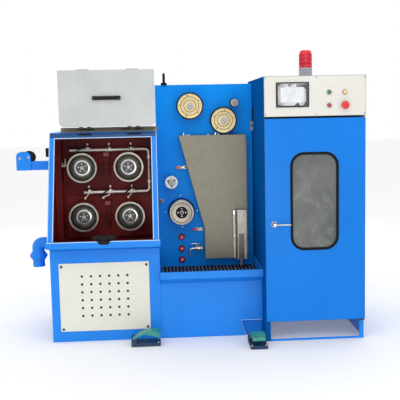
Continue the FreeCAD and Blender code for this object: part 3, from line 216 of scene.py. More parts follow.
azure = (0.009, 0.215, 0.74)
finishes = {
    "machineBlue": enamel(azure, 0.34, 0.12, 0.06, dustAmount=0.02),
    "whiteSheet": enamel((0.7, 0.69, 0.61), 0.42, 0.1, 0.04, 0.04, (0.5, 0.46, 0.4), 0.08),
    "panelCream": enamel((0.66, 0.65, 0.6), 0.4, 0.1, 0.03, 0.04, (0.55, 0.5, 0.45), 0.05),
    "maroonPaint": enamel((0.145, 0.01, 0.012), 0.4, 0.05, 0.34, 0.08, (0.28, 0.04, 0.035), 0.35, 0.1),
    "lidSteel": brushed((0.52, 0.54, 0.535), 0.42, (6, 1, 1), cloud=0.14, metallic=0.5, grain=0.035),
    "coverSteel": brushed((0.285, 0.265, 0.2), 0.46, (1, 1, 0.4), cloud=0.24, metallic=0.6, stain=0.22,
                          grain=0.05),
    "railSteel": brushed((0.24, 0.22, 0.17), 0.4, (0.05, 1, 1), cloud=0.3, metallic=0.6, stain=0.5),
    # the bottom plate's steel glows faintly: painted light that brightens the shaded cabinet floor
    "galvanised": brushed((0.86, 0.83, 0.78), 0.6, (0.3, 0.3, 1), cloud=0.1, metallic=0.0, stain=0.05,
                          grain=0.04, paintedGlow=0.2),
    "brightMetal": brushed((0.6, 0.6, 0.59), 0.2, cloud=0.2, metallic=0.85),
    "turnedSteel": brushed((0.42, 0.395, 0.35), 0.26, cloud=0.3, attribute="lathe", grain=0.35, metallic=0.75),
    "ringSteel": brushed((0.12, 0.09, 0.06), 0.3, cloud=0.25, attribute="lathe", grain=0.35, metallic=0.7),
    "darkGroove": brushed((0.055, 0.052, 0.05), 0.36, cloud=0.2, attribute="lathe", grain=0.4),
    "darkSteel": brushed((0.09, 0.09, 0.095), 0.42, cloud=0.2, metallic=0.8),
    "blackSteel": moulded((0.008, 0.008, 0.009), 0.45, 160, Specular_IOR_Level=0.15),
    "blackPlastic": moulded((0.007, 0.007, 0.008), 0.42, Specular_IOR_Level=0.18),
    "blackRubber": moulded((0.005, 0.006, 0.008), 0.5, 220, Specular_IOR_Level=0.15),
    "sheaveCream": brushed((0.98, 0.73, 0.37), 0.45, cloud=0.25, metallic=0.0, stain=0.3, attribute="lathe",
                           grain=0.16),
    "hubWhite": moulded((0.72, 0.7, 0.66), 0.4),
    "buttonGreen": moulded((0.01, 0.13, 0.05), 0.22, coat=0.6),
    "buttonYellow": moulded((0.72, 0.42, 0.02), 0.22, coat=0.6),
    "buttonViolet": moulded((0.33, 0.015, 0.07), 0.22, coat=0.6),
    "stopRed": moulded((0.62, 0.006, 0.01), 0.24, coat=0.7),
    "stationMaroon": moulded((0.22, 0.008, 0.03), 0.28, coat=0.5),
    # glowing pink for the small disc low on each station button: a painted highlight
    "lensPink": moulded((0.75, 0.2, 0.28), 0.2, coat=0.6, Emission_Color=(0.9, 0.25, 0.3, 1),
                        Emission_Strength=0.25),
    "latchRed": moulded((0.5, 0.02, 0.02), 0.35, coat=0.3),
    "beaconGrey": moulded((0.42, 0.4, 0.36), 0.4),
    # copy of the machine blue toned for the tall housing's front: painted light and shade
    "panelBlue": enamel((0.001, 0.262, 0.84), 0.36, 0.0, 0.06, dustAmount=0.008, gloss=0.08),
    "doorBlue": enamel((0.003, 0.175, 0.64), 0.34, 0.08, 0.07, dustAmount=0.006, gloss=0.12),
    # dark copy of the machine blue for the cabinet's left wall: painted shade
    "cabinetBlue": enamel((0.002, 0.09, 0.33), 0.6, 0.0, 0.1, dustAmount=0.004, gloss=0.0),
    "mirrorSteel": brushed((0.5, 0.51, 0.52), 0.34, cloud=0.5, attribute="lathe", grain=0.2, metallic=0.9),
    "creamGroove": moulded((0.2, 0.09, 0.025), 0.5),
    "nozzleTip": brushed((0.92, 0.66, 0.58), 0.3, cloud=0.15, metallic=0.3),
    "dieRed": moulded((0.26, 0.035, 0.035), 0.45),
    "screenGlass": moulded((0.045, 0.048, 0.05), 0.12, coat=0.6),
    "screenPale": moulded((0.66, 0.68, 0.7), 0.2, coat=0.5),
    "bezelSteel": brushed((0.4, 0.4, 0.39), 0.3, cloud=0.15, grain=0.1, metallic=0.8),
    "stopYellow": moulded((0.75, 0.5, 0.05), 0.35),
    "stationRed": moulded((0.5, 0.03, 0.05), 0.25, coat=0.5),
    "wiperSteel": brushed((0.5, 0.46, 0.39), 0.36, (1, 1, 0.3), cloud=0.35, metallic=0.6, stain=0.7),
    "brassTint": brushed((0.3, 0.26, 0.18), 0.28, cloud=0.2),
    "wetSteel": enamel((0.018, 0.02, 0.024), 0.22, 0.6, 0.3, 0.2, (0.12, 0.13, 0.14), 0.2),
    # dark blue for the chamber's top strip: painted shade
    "stripBlue": enamel((0.003, 0.06, 0.2), 0.3, 0.2, gloss=0.2),
    "barSteel": brushed((0.3, 0.29, 0.33), 0.3, cloud=0.4, metallic=0.3, stain=0.5),
    "capSteel": brushed((0.3, 0.285, 0.25), 0.38, cloud=0.3, metallic=0.7),
    "pipeSteel": brushed((0.78, 0.75, 0.7), 0.3, cloud=0.2, metallic=0.45),
    "maroonLight": enamel((0.19, 0.016, 0.016), 0.4, 0.05, 0.3, 0.08, (0.34, 0.06, 0.05), 0.35, 0.1),
    # black for painted shade in holes and under the grille
    "ventBlack": moulded((0.006, 0.006, 0.007), 0.6),
    # light blue for rolled edges: painted highlights
    "edgeBlue": enamel((0.42, 0.62, 0.92), 0.2, 0.4, gloss=0.5),
    "dishSteel": brushed((0.27, 0.25, 0.215), 0.28, cloud=0.4, metallic=0.6, attribute="lathe", grain=0.4),
    "capstanSteel": brushed((0.36, 0.33, 0.28), 0.28, cloud=0.35, metallic=0.7, attribute="lathe", grain=0.3),
    "darkWiper": brushed((0.16, 0.15, 0.13), 0.3, (1, 1, 0.2), cloud=0.5, metallic=0.6, stain=0.6),
    # dark maroon for knurled nuts and the port ring, and painted shade on the chamber's right column
    "maroonDark": moulded((0.05, 0.005, 0.008), 0.45, Specular_IOR_Level=0.2),
    "pedalDark": enamel((0.012, 0.035, 0.09), 0.42, 0.2, 0.2, 0.3, (0.25, 0.3, 0.33), 0.3),
}


def makeBeaconRed():
    # tinted lens plastic with upright streaks
    finish = newFinish((0.66, 0.006, 0.018), 0.14, 0.0, Coat_Weight=0.4, Specular_IOR_Level=0.35)
    setColour(finish, rampOf(finish, noiseOn(finish, 26, 3, 0.5, (1, 1, 0.05)), (0.36, (0.42, 0.002, 0.008)),
                             (0.62, (0.85, 0.014, 0.03))))
    setRoughness(finish, noiseOn(finish, 60, 3), 0.12, 0.24)
    addBump(finish, noiseOn(finish, 240, 2), 0.06, 0.0005)
    return finish


def makePaneFilm():
    # dusty clear sheet, smeared and mottled
    finish = newFinish((0.15, 0.16, 0.16), 0.3, 0.0, Coat_Weight=0.2, Coat_Roughness=0.08,
                       Specular_IOR_Level=0.4)
    broad = rampOf(finish, noiseOn(finish, 3.2, 5, 0.6, (1, 1, 0.6), (0, 0.5, 0), distortion=0.8),
                   (0.32, (0.055, 0.062, 0.06)), (0.7, (0.13, 0.138, 0.13)))
    smear = rampOf(finish, noiseOn(finish, 11, 7, 0.72, (1, 1, 0.5), (0, 0.4, 0), distortion=1.4), (0.5, 0.0),
                   (0.74, 0.5))
    setColour(finish, blendOf(finish, smear, broad, (0.24, 0.25, 0.235)))
    setRoughness(finish, noiseOn(finish, 12, 6, 0.7), 0.16, 0.5)
    addBump(finish, noiseOn(finish, 8, 4, 0.6), 0.1, 0.003)
    return finish


def makeScreenFilm():
    # protective film half lifted from the glass: broad slanting grey streaks
    finish = newFinish((0.6, 0.61, 0.62), 0.22, 0.0, Coat_Weight=0.6, Coat_Roughness=0.06)
    slant = rampOf(finish, noiseOn(finish, 6.5, 3, 0.5, (1.2, 1, 0.35), (0, 0.7, 0), distortion=0.5),
                   (0.4, (0.56, 0.57, 0.58)), (0.56, (0.3, 0.31, 0.33)), (0.62, (0.62, 0.63, 0.64)))
    setColour(finish, slant)
    return finish


def makeWornGreen():
    # treadle enamel rubbed through to grey at its crown
    finish = newFinish((0.015, 0.24, 0.2), 0.4, 0.0, Coat_Weight=0.2)
    body = rampOf(finish, noiseOn(finish, 16, 5, 0.6), (0.3, (0.006, 0.17, 0.15)), (0.7, (0.03, 0.33, 0.27)))
    rubbed = rampOf(finish, noiseOn(finish, 34, 8, 0.75, distortion=0.7), (0.53, 0.0), (0.72, 0.75))
    setColour(finish, blendOf(finish, rubbed, body, (0.2, 0.42, 0.38)))
    setRoughness(finish, noiseOn(finish, 30, 4), 0.3, 0.6)
    addBump(finish, noiseOn(finish, 240, 4), 0.25, 0.0008)
    return finish


finishes.update(beaconRed=makeBeaconRed(), paneFilm=makePaneFilm(), screenFilm=makeScreenFilm(),
                wornGreen=makeWornGreen())
for name, finish in finishes.items():
    finish.name = name
print("finishes", len(finishes))


# ---- mesh helpers

def addPiece(name, bm, body, finishNames, replaced=(), slotName=None, bevel=0.0, smooth=35):
    # one finished piece from a bmesh, riding on a body
    bmesh.ops.remove_doubles(bm, verts=bm.verts, dist=1e-6)
    mesh = bpy.data.meshes.new(name)
    bm.to_mesh(mesh)
    bm.free()
    return finishPiece(name, mesh, body, finishNames, replaced, slotName, bevel, smooth)


def finishPiece(name, mesh, body, finishNames, replaced=(), slotName=None, bevel=0.0, smooth=35):
    piece = bpy.data.objects.new(name, mesh)
    scene.collection.objects.link(piece)
    names = [finishNames] if isinstance(finishNames, str) else finishNames
    for finishName in names:
        mesh.materials.append(finishes[finishName])
    mesh.shade_smooth()
    mesh.set_sharp_from_angle(angle=radians(smooth))
    if bevel:
        edge = piece.modifiers.new("edge", "BEVEL")
        edge.width = bevel * mm
        edge.segments = 2
        edge.limit_method = "ANGLE"
        edge.angle_limit = radians(32)
        edge.use_clamp_overlap = True
        edge.harden_normals = True
    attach(piece, body)
    if replaced:
        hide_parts(*replaced)
    slotName or slotOf.get((list(replaced) or [name])[0], "machine_blue")
    return piece


def addBox(bm, low, high, index=0):
    low, high = Vector(low), Vector(high)
    made = bmesh.ops.create_cube(bm, size=1.0)
    centre, size = (low + high) / 2, high - low
    for vert in made["verts"]:
        vert.co = Vector((vert.co.x * size.x, vert.co.y * size.y, vert.co.z * size.z)) + centre
    faces = {face for vert in made["verts"] for face in vert.link_faces}
    for face in faces:
        face.material_index = index
    return made["verts"]


def turnTo(direction):
    return Vector((0, 0, 1)).rotation_difference(Vector(direction)).to_matrix().to_4x4()


latheLines = {"along": 0.012, "round": 0.03}     # how far the turning marks run on a turned piece


def addLathe(bm, profile, centre, direction=(0, -1, 0), steps=48, indices=None, closed=False):
    # profile of (radius, distance along the direction) in mm from the centre
    layer = bm.verts.layers.float_vector.get("lathe") or bm.verts.layers.float_vector.new("lathe")
    matrix = Matrix.Translation(Vector(centre)) @ turnTo(direction)
    run, rings = 0.0, []
    for number, (radius, height) in enumerate(profile):
        if number:
            run += hypot(radius - profile[number - 1][0], height - profile[number - 1][1])
        count = 1 if radius < 1e-6 else steps
        ring = []
        for step in range(count):
            angle = 2 * pi * step / steps
            vert = bm.verts.new(matrix @ Vector((radius * cos(angle) * mm, radius * sin(angle) * mm,
                    height * mm)))
            vert[layer] = (run * latheLines["along"], latheLines["round"] * sin(angle),
                           latheLines["round"] * cos(angle))
            ring.append(vert)
        rings.append(ring)
    pairs = list(zip(rings, rings[1:]))
    if closed:
        pairs.append((rings[-1], rings[0]))
    for number, (first, second) in enumerate(pairs):
        index = indices[min(number, len(indices) - 1)] if indices else 0
        for step in range(steps):
            ahead = (step + 1) % steps
            if len(first) == 1 and len(second) == 1:
                continue
            if len(first) == 1:
                corners = (first[0], second[ahead], second[step])
            elif len(second) == 1:
                corners = (first[step], first[ahead], second[0])
            else:
                corners = (first[step], first[ahead], second[ahead], second[step])
            bm.faces.new(corners).material_index = index
    return rings


def addRod(bm, start, end, radius, steps=20, index=0, chamfer=0.8):
    # closed round bar with chamfered ends, sizes in mm, ends in metres
    start, end = Vector(start), Vector(end)
    length = (end - start).length / mm
    edge = min(chamfer, radius * 0.4, length * 0.3)
    addLathe(bm, [(0, 0), (radius - edge, 0), (radius, edge), (radius, length - edge), (radius - edge, length),
                  (0, length)],
             start, end - start, steps, [index])


def addHexHead(bm, centre, direction, across, height):
    # hexagon head with a domed top
    radius = across / 2 / cos(pi / 6)
    addLathe(bm, [(0, 0), (radius, 0), (radius, height * 0.75), (radius * 0.82, height), (0, height)], centre,
             direction, 6)


def addPrism(bm, outline, depth, index=0):
    # outline of points in one plane, extruded by a vector
    first = [bm.verts.new(point) for point in outline]
    second = [bm.verts.new(Vector(point) + Vector(depth)) for point in outline]
    faces = [bm.faces.new(first[::-1]), bm.faces.new(second)]
    count = len(outline)
    for number in range(count):
        ahead = (number + 1) % count
        faces.append(bm.faces.new((first[number], first[ahead], second[ahead], second[number])))
    for face in faces:
        face.material_index = index
    bmesh.ops.recalc_face_normals(bm, faces=faces)
    return faces


def roundedOutline(cx, cz, width, height, corner, y, steps=8):
    points = []
    for sideX, sideZ, begin in ((1, 1, 0), (-1, 1, 90), (-1, -1, 180), (1, -1, 270)):
        for step in range(steps + 1):
            angle = radians(begin + 90 * step / steps)
            points.append(Vector((cx + sideX * (width / 2 - corner) + corner * cos(angle), y,
                                  cz + sideZ * (height / 2 - corner) + corner * sin(angle))))
    return points


def addLoft(bm, loops, index=0, capStart=False, capEnd=False):
    # skin between loops that have the same number of points
    rings = [[bm.verts.new(point) for point in loop] for loop in loops]
    faces = []
    for first, second in zip(rings, rings[1:]):
        for number in range(len(first)):
            ahead = (number + 1) % len(first)
            faces.append(bm.faces.new((first[number], first[ahead], second[ahead], second[number])))
    if capStart:
        faces.append(bm.faces.new(rings[0][::-1]))
    if capEnd:
        faces.append(bm.faces.new(rings[-1]))
    for face in faces:
        face.material_index = index
    bmesh.ops.recalc_face_normals(bm, faces=faces)
    return faces


def smoothPath(points, bend, steps=6):
    # polyline with its corners rounded
    points = [Vector(point) for point in points]
    path = [points[0]]
    for before, corner, after in zip(points, points[1:], points[2:]):
        arrive, leave = (corner - before).normalized(), (after - corner).normalized()
        reach = min(bend * math.tan(arrive.angle(leave) / 2), (corner - before).length / 2,
                    (after - corner).length / 2)
        first, last = corner - arrive * reach, corner + leave * reach
        for step in range(steps + 1):
            share = step / steps
            path.append(first.lerp(corner, share).lerp(corner.lerp(last, share), share))
    path.append(points[-1])
    return path


def addTube(bm, path, radius, steps=16, index=0):
    # round bar that follows a path; radius in mm, or one radius for each point
    count = len(path)
    radii = radius if isinstance(radius, list) else [radius] * count
    tangent = (path[1] - path[0]).normalized()
    normal = tangent.orthogonal().normalized()
    rings = []
    for number, point in enumerate(path):
        ahead = (path[min(number + 1, count - 1)] - path[max(number - 1, 0)]).normalized()
        normal = (tangent.rotation_difference(ahead) @ normal).normalized()
        tangent = ahead
        side = tangent.cross(normal)
        rings.append([point + (normal * cos(2 * pi * step / steps)
                               + side * sin(2 * pi * step / steps)) * radii[number] * mm
                      for step in range(steps)])
    return addLoft(bm, rings, index, True, True)


# ---- geometry node trees for what repeats

def startTree(name, sockets):
    tree = bpy.data.node_groups.new(name, "GeometryNodeTree")
    tree.interface.new_socket("Geometry", in_out="INPUT", socket_type="NodeSocketGeometry")
    tree.interface.new_socket("Geometry", in_out="OUTPUT", socket_type="NodeSocketGeometry")
    for label, kind in sockets:
        tree.interface.new_socket(label, in_out="INPUT", socket_type="NodeSocket" + kind)
    return tree, tree.nodes.new("NodeGroupInput").outputs, tree.nodes.new("NodeGroupOutput")


def treeNode(tree, kind, links=(), **settings):
    node = tree.nodes.new(kind)
    for key, value in settings.items():
        setattr(node, key, value)
    for socket, source in links:
        if isinstance(source, bpy.types.NodeSocket):
            tree.links.new(source, node.inputs[socket])
        else:
            node.inputs[socket].default_value = source
    return node


def endTree(tree, given, result, instances):
    whole = treeNode(tree, "GeometryNodeRealizeInstances", [("Geometry", instances)])
    painted = treeNode(tree, "GeometryNodeSetMaterial", [("Geometry", whole.outputs[0]),
            ("Material", given["Finish"])])
    tree.links.new(painted.outputs[0], result.inputs[0])
    return tree


def makeSpotTree():
    # the part stands at each point of the modified mesh
    tree, given, result = startTree("partAtEachPoint", [("Part", "Object"), ("Turn", "Rotation"),
            ("Finish", "Material")])
    info = treeNode(tree, "GeometryNodeObjectInfo", [("Object", given["Part"])])
    spots = treeNode(tree, "GeometryNodeInstanceOnPoints",
                     [("Points", given["Geometry"]), ("Instance", info.outputs["Geometry"]),
                      ("Rotation", given["Turn"])])
    return endTree(tree, given, result, spots.outputs[0])


def makeGridTree():
    # upright grid in the XZ plane, centred
    tree, given, result = startTree("gridOfParts", [("Part", "Object"), ("Columns", "Int"), ("Rows", "Int"),
            ("Pitch X", "Float"), ("Pitch Z", "Float"), ("Centre", "Vector"), ("Finish", "Material")])
    spans = []
    for count, pitch in (("Columns", "Pitch X"), ("Rows", "Pitch Z")):
        gaps = treeNode(tree, "ShaderNodeMath", [(0, given[count]), (1, 1.0)], operation="SUBTRACT")
        spans.append(treeNode(tree, "ShaderNodeMath", [(0, gaps.outputs[0]), (1, given[pitch])],
                              operation="MULTIPLY"))
    grid = treeNode(tree, "GeometryNodeMeshGrid", [("Size X", spans[0].outputs[0]),
            ("Size Y", spans[1].outputs[0]), ("Vertices X", given["Columns"]), ("Vertices Y", given["Rows"])])
    upright = treeNode(tree, "GeometryNodeTransform", [("Geometry", grid.outputs[0]),
            ("Translation", given["Centre"]), ("Rotation", (pi / 2, 0, 0))])
    info = treeNode(tree, "GeometryNodeObjectInfo", [("Object", given["Part"])])
    spots = treeNode(tree, "GeometryNodeInstanceOnPoints",
                     [("Points", upright.outputs[0]), ("Instance", info.outputs["Geometry"])])
    return endTree(tree, given, result, spots.outputs[0])


def makeRingTree():
    # parts round an axis along Y, each turned to face outwards
    tree, given, result = startTree("ringOfParts", [("Part", "Object"), ("Count", "Int"), ("Radius", "Float"),
            ("Start", "Float"), ("Upright", "Bool"), ("Centre", "Vector"), ("Finish", "Material")])
    ring = treeNode(tree, "GeometryNodeMeshCircle", [("Vertices", given["Count"]), ("Radius", given["Radius"])])
    index = treeNode(tree, "GeometryNodeInputIndex")
    share = treeNode(tree, "ShaderNodeMath", [(0, index.outputs[0]), (1, given["Count"])], operation="DIVIDE")
    angle = treeNode(tree, "ShaderNodeMath", [(0, share.outputs[0]), (1, 2 * pi)], operation="MULTIPLY")
    turn = treeNode(tree, "ShaderNodeCombineXYZ", [("Z", angle.outputs[0])])
    info = treeNode(tree, "GeometryNodeObjectInfo", [("Object", given["Part"])])
    spots = treeNode(tree, "GeometryNodeInstanceOnPoints",
                     [("Points", ring.outputs[0]), ("Instance", info.outputs["Geometry"]),
                      ("Rotation", turn.outputs[0])])
    begun = treeNode(tree, "ShaderNodeCombineXYZ", [("Z", given["Start"])])
    turned = treeNode(tree, "GeometryNodeTransform", [("Geometry", spots.outputs[0]),
            ("Rotation", begun.outputs[0])])
    facing = treeNode(tree, "GeometryNodeTransform", [("Geometry", turned.outputs[0]),
            ("Rotation", (pi / 2, 0, 0))])
    either = treeNode(tree, "GeometryNodeSwitch", [("Switch", given["Upright"]), ("False", facing.outputs[0]),
                                                   ("True", turned.outputs[0])], input_type="GEOMETRY")
    moved = treeNode(tree, "GeometryNodeTransform", [("Geometry", either.outputs[0]),
            ("Translation", given["Centre"])])
    return endTree(tree, given, result, moved.outputs[0])


spotTree, gridTree, ringTree = makeSpotTree(), makeGridTree(), makeRingTree()


def repeatPart(name, tree, part, body, finishName, replaced=(), slotName=None, points=None, **values):
    # evaluates a tree once and keeps its plain mesh as a piece
    seed = bpy.data.meshes.new(name + "Seed")
    seed.from_pydata([tuple(point) for point in (points or [(0, 0, 0)])], [], [])
    carrier = bpy.data.objects.new(name + "Carrier", seed)
    scene.collection.objects.link(carrier)
    modifier = carrier.modifiers.new("repeat", "NODES")
    modifier.node_group = tree
    values["Part"], values["Finish"] = part, finishes[finishName]
    for item in tree.interface.items_tree:
        if item.in_out == "INPUT" and item.name in values:
            modifier[item.identifier] = values[item.name]
    bpy.context.view_layer.update()
    mesh = bpy.data.meshes.new_from_object(carrier.evaluated_get(bpy.context.evaluated_depsgraph_get()))
    mesh.name = name
    bpy.data.objects.remove(carrier)
    bpy.data.objects.remove(part)
    mesh.materials.clear()
    return finishPiece(name, mesh, body, finishName, replaced, slotName)


def loosePart(name, bm):
    # a small shape for the trees to repeat; its place is the origin
    mesh = bpy.data.meshes.new(name)
    bm.to_mesh(mesh)
    bm.free()
    part = bpy.data.objects.new(name, mesh)
    scene.collection.objects.link(part)
    return part


def screwHead(radius, height, direction=(0, -1, 0), socket=True):
    # pan head with a recess
    bm = bmesh.new()
    profile = [(0, -1.0), (radius, -1.0), (radius, height * 0.35), (radius * 0.86, height * 0.8),
               (radius * 0.6, height)]
    if socket:
        profile += [(radius * 0.42, height), (radius * 0.36, height * 0.35), (0, height * 0.3)]
    else:
        profile += [(0, height * 1.05)]
    addLathe(bm, profile, (0, 0, 0), direction, 14)
    return loosePart("screwHead", bm)


def hexBolt(across, height, direction=(0, -1, 0), washer=True):
    bm = bmesh.new()
    if washer:
        addLathe(bm, [(0, -0.5), (across * 0.8, -0.5), (across * 0.8, 1.4), (0, 1.4)], (0, 0, 0), direction, 20)
    addHexHead(bm, (0, 0, 0), direction, across, height)
    return loosePart("hexBolt", bm)


# skins that step in a little, so that covers and screws on them stay inside the machine's size:
# the axis, where the step begins and how far it goes
stepIn = {"back": 11.5, "side": 2.8}
insetSkins = {"rear_housing": (1, 0.488, stepIn["back"] * mm),
              "cabinet_back_wall": (1, 0.488, stepIn["back"] * mm),
              "cabinet_right_wall": (0, 1.0924, stepIn["side"] * mm)}


def refine(node, finishName, bevel=1.2, smooth=35):
    # a CAD node's own shape with its edges eased
    mesh = frame["nodes"][node].data.copy()
    mesh.materials.clear()
    bm = bmesh.new()
    bm.from_mesh(mesh)
    bmesh.ops.remove_doubles(bm, verts=bm.verts, dist=2e-6)
    bmesh.ops.dissolve_limit(bm, angle_limit=radians(1.0), verts=bm.verts, edges=bm.edges)
    for face in bm.faces:
        face.material_index = 0
    if node in insetSkins:
        axis, edge, inset = insetSkins[node]
        for vert in bm.verts:
            if vert.co[axis] > edge:
                vert.co[axis] -= inset
    bm.to_mesh(mesh)
    bm.free()
    if "custom_normal" in mesh.attributes:
        mesh.attributes.remove(mesh.attributes["custom_normal"])
    return finishPiece(node.replace("_", "-") + "-skin", mesh, bodyOf[node], finishName, (node,), None, bevel,
                       smooth)


# ---- camera, light and floor

cameraView = {"spot": (-611.318, -4560.532, 1434.49), "yaw": 0.063, "pitch": 0.116, "roll": 0.02, "lens": 68.47,
              "shiftX": -0.0301, "shiftY": 0.0}


def makeCamera():
    yaw, pitch, roll = cameraView["yaw"], cameraView["pitch"], cameraView["roll"]
    forward = Vector((sin(yaw) * cos(pitch), cos(yaw) * cos(pitch), -sin(pitch)))
    right = Vector((cos(yaw), -sin(yaw), 0))
    down = forward.cross(right)
    acrossView = right * cos(roll) + down * sin(roll)
    downView = down * cos(roll) - right * sin(roll)
    data = bpy.data.cameras.new("camera")
    data.sensor_width = 36
    data.lens = cameraView["lens"]
    data.shift_x, data.shift_y = cameraView["shiftX"], cameraView["shiftY"]
    data.clip_end = 60
    camera = bpy.data.objects.new("camera", data)
    matrix = Matrix((acrossView, -downView, -forward)).transposed().to_4x4()
    matrix.translation = place(*cameraView["spot"])
    camera.matrix_world = matrix
    scene.collection.objects.link(camera)
    scene.camera = camera


studio = {"worldColor": (1.0, 1.0, 1.0), "worldStrength": 1.0, "floorColor": (0.93, 0.93, 0.925),
          "floorSize": 60.0, "lamps": ((-2.6, -3.6, 3.2, 1.4, 14), (3.0, -3.2, 2.6, 1.2, 12),
                                       (0.4, -4.2, 0.45, 1.6, 20), (0.0, -2.4, 4.4, 2.4, 24),
                                       (0.0, 4.2, 3.0, 2.0, 30))}


def makeStudio():
    world = bpy.data.worlds.new("studio")
    world.use_nodes = True
    background = world.node_tree.nodes["Background"]
    background.inputs["Color"].default_value = (*studio["worldColor"], 1)
    background.inputs["Strength"].default_value = studio["worldStrength"]
    scene.world = world
    for number, (x, y, z, size, power) in enumerate(studio["lamps"]):
        data = bpy.data.lights.new("lamp%d" % number, "AREA")
        data.shape, data.size, data.energy = "DISK", size, power
        lamp = bpy.data.objects.new("lamp%d" % number, data)
        lamp.location = (x, y, z)
        lamp.rotation_euler = (Vector((0, 0, 0.9)) - lamp.location).to_track_quat("-Z", "Y").to_euler()
        scene.collection.objects.link(lamp)
    half = studio["floorSize"] / 2
    bm = bmesh.new()
    bm.faces.new([bm.verts.new((x * half, y * half, 0)) for x, y in ((-1, -1), (1, -1), (1, 1), (-1, 1))])
    mesh = bpy.data.meshes.new("floor")
    bm.to_mesh(mesh)
    bm.free()
    floor = bpy.data.objects.new("floor", mesh)
    finish = newFinish(studio["floorColor"], 0.75)
    finish.name = "floorPaint"
    setRoughness(finish, noiseOn(finish, 3, 3), 0.7, 0.85)
    mesh.materials.append(finish)
    scene.collection.objects.link(floor)


makeCamera()
makeStudio()
print("camera and studio")


def slab(bm, x0, x1, y0, y1, z0, z1, index=0):
    # box between layout millimetres
    return addBox(bm, place(min(x0, x1), min(y0, y1), min(z0, z1)),
                  place(max(x0, x1), max(y0, y1), max(z0, z1)), index)


def layout(point):
    # back to millimetres from the cabinet's corner
    return Vector(((point.x - cornerX) / mm, (point.y - cornerY) / mm, point.z / mm))


def span(node):
    # both corners of a node's box, in layout millimetres
    return layout(lo(node)), layout(hi(node))


def wheelSeat(node):
    # centre of a wheel's back face, then its radius and depth in millimetres
    low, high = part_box(node)
    centre = Vector(((low.x + high.x) / 2, high.y, (low.z + high.z) / 2))
    return centre, (high.x - low.x) / 2 / mm, (high.y - low.y) / mm


def addSecondFinish(skin, finishName, isSecond):
    # another finish on the faces that the test picks
    skin.data.materials.append(finishes[finishName])
    for face in skin.data.polygons:
        face.material_index = int(isSecond(layout(Vector(face.center)), face.normal))


panelY = layout(hi("bay_base")).y              # face of the tall housing
bayLeft = layout(lo("bay_base")).x
chamberLeft = layout(lo("chamber_base")).x
roofZ = layout(hi("cabinet_roof")).z
controlZ = layout(lo("control_panel")).z

# ---- plain sheet-metal pieces: the CAD shapes with eased edges

sheetMetal = {
    "chamber_base": ("machineBlue", 2.0), "bay_base": ("machineBlue", 2.0),
    "drip_tray": ("machineBlue", 1.2), "chamber_front_frame": ("machineBlue", 1.4),
              "cone_bearings": ("maroonPaint", 1.2),
    "lid_hinge_rail": ("railSteel", 0.7), "lid_upper_leaf": ("lidSteel", 0.9),
              "lid_lower_leaf": ("lidSteel", 0.9),
    # the left wall takes a darker blue: painted shade
    "cabinet_left_wall": ("cabinetBlue", 1.2), "cabinet_right_wall": ("machineBlue", 1.2),
              "cabinet_back_wall": ("machineBlue", 1.0),
    "cabinet_roof": ("machineBlue", 1.0), "cabinet_decks": ("machineBlue", 1.0),
              "door_panel": ("doorBlue", 1.3),
    "door_hinge_pins": ("darkSteel", 0.8), "control_panel": ("panelCream", 0.7),
              "annealer_cover": ("coverSteel", 1.6),
    "wire_guide": ("brightMetal", 0.8), "pedal_bases": ("pedalDark", 1.0), "window_pane": ("paneFilm", 0.6),
    "vent_panel": ("whiteSheet", 0.5), "chamber_back_plate": ("maroonPaint", 0.5),
}
for node, (finishName, bevel) in sheetMetal.items():
    refine(node, finishName, bevel)

# the chamber's inside is maroon, its outside blue
innerLeft, innerRight = (corner.x for corner in span("chamber_back_plate"))
insideTests = {
    "chamber_side_walls": lambda spot, normal: abs(normal.x) > 0.9 and innerLeft - 2 < spot.x < innerRight + 2,
    "chamber_roof": lambda spot, normal: normal.z < -0.9,
    "chamber_trough": lambda spot, normal: normal.z > 0.3 and spot.y > 102,
}
for node, isInside in insideTests.items():
    addSecondFinish(refine(node, "machineBlue", 1.0), "maroonPaint", isInside)
# the tall housing's front gets its own blue, painted light and shade for how light falls on that face, and the
# bottom plate a painted front edge
addSecondFinish(refine("rear_housing", "machineBlue", 2.0), "panelBlue",
                lambda spot, normal: spot.y < panelY + 30 and spot.x > bayLeft - 8 and normal.y < -0.5)
addSecondFinish(refine("bottom_plate", "galvanised", 0.8), "machineBlue", lambda spot, normal: spot.y < 34)
print("sheet metal")

# ---- drawing cones

coneSizes = {"steps": 4, "stepFall": 9.0, "stepWidth": 26.0, "shaftRadius": 30.0, "rimWidth": 14.0,
             "grooveWidth": 7.0, "dishDepth": 28.0, "crownRadius": 47.0, "crownDrop": 9.0, "hubRadius": 38.0,
             "hubDrop": 15.0, "boltCount": 5, "boltCircle": 25.0, "boltRadius": 5.4, "centreRadius": 9.5}


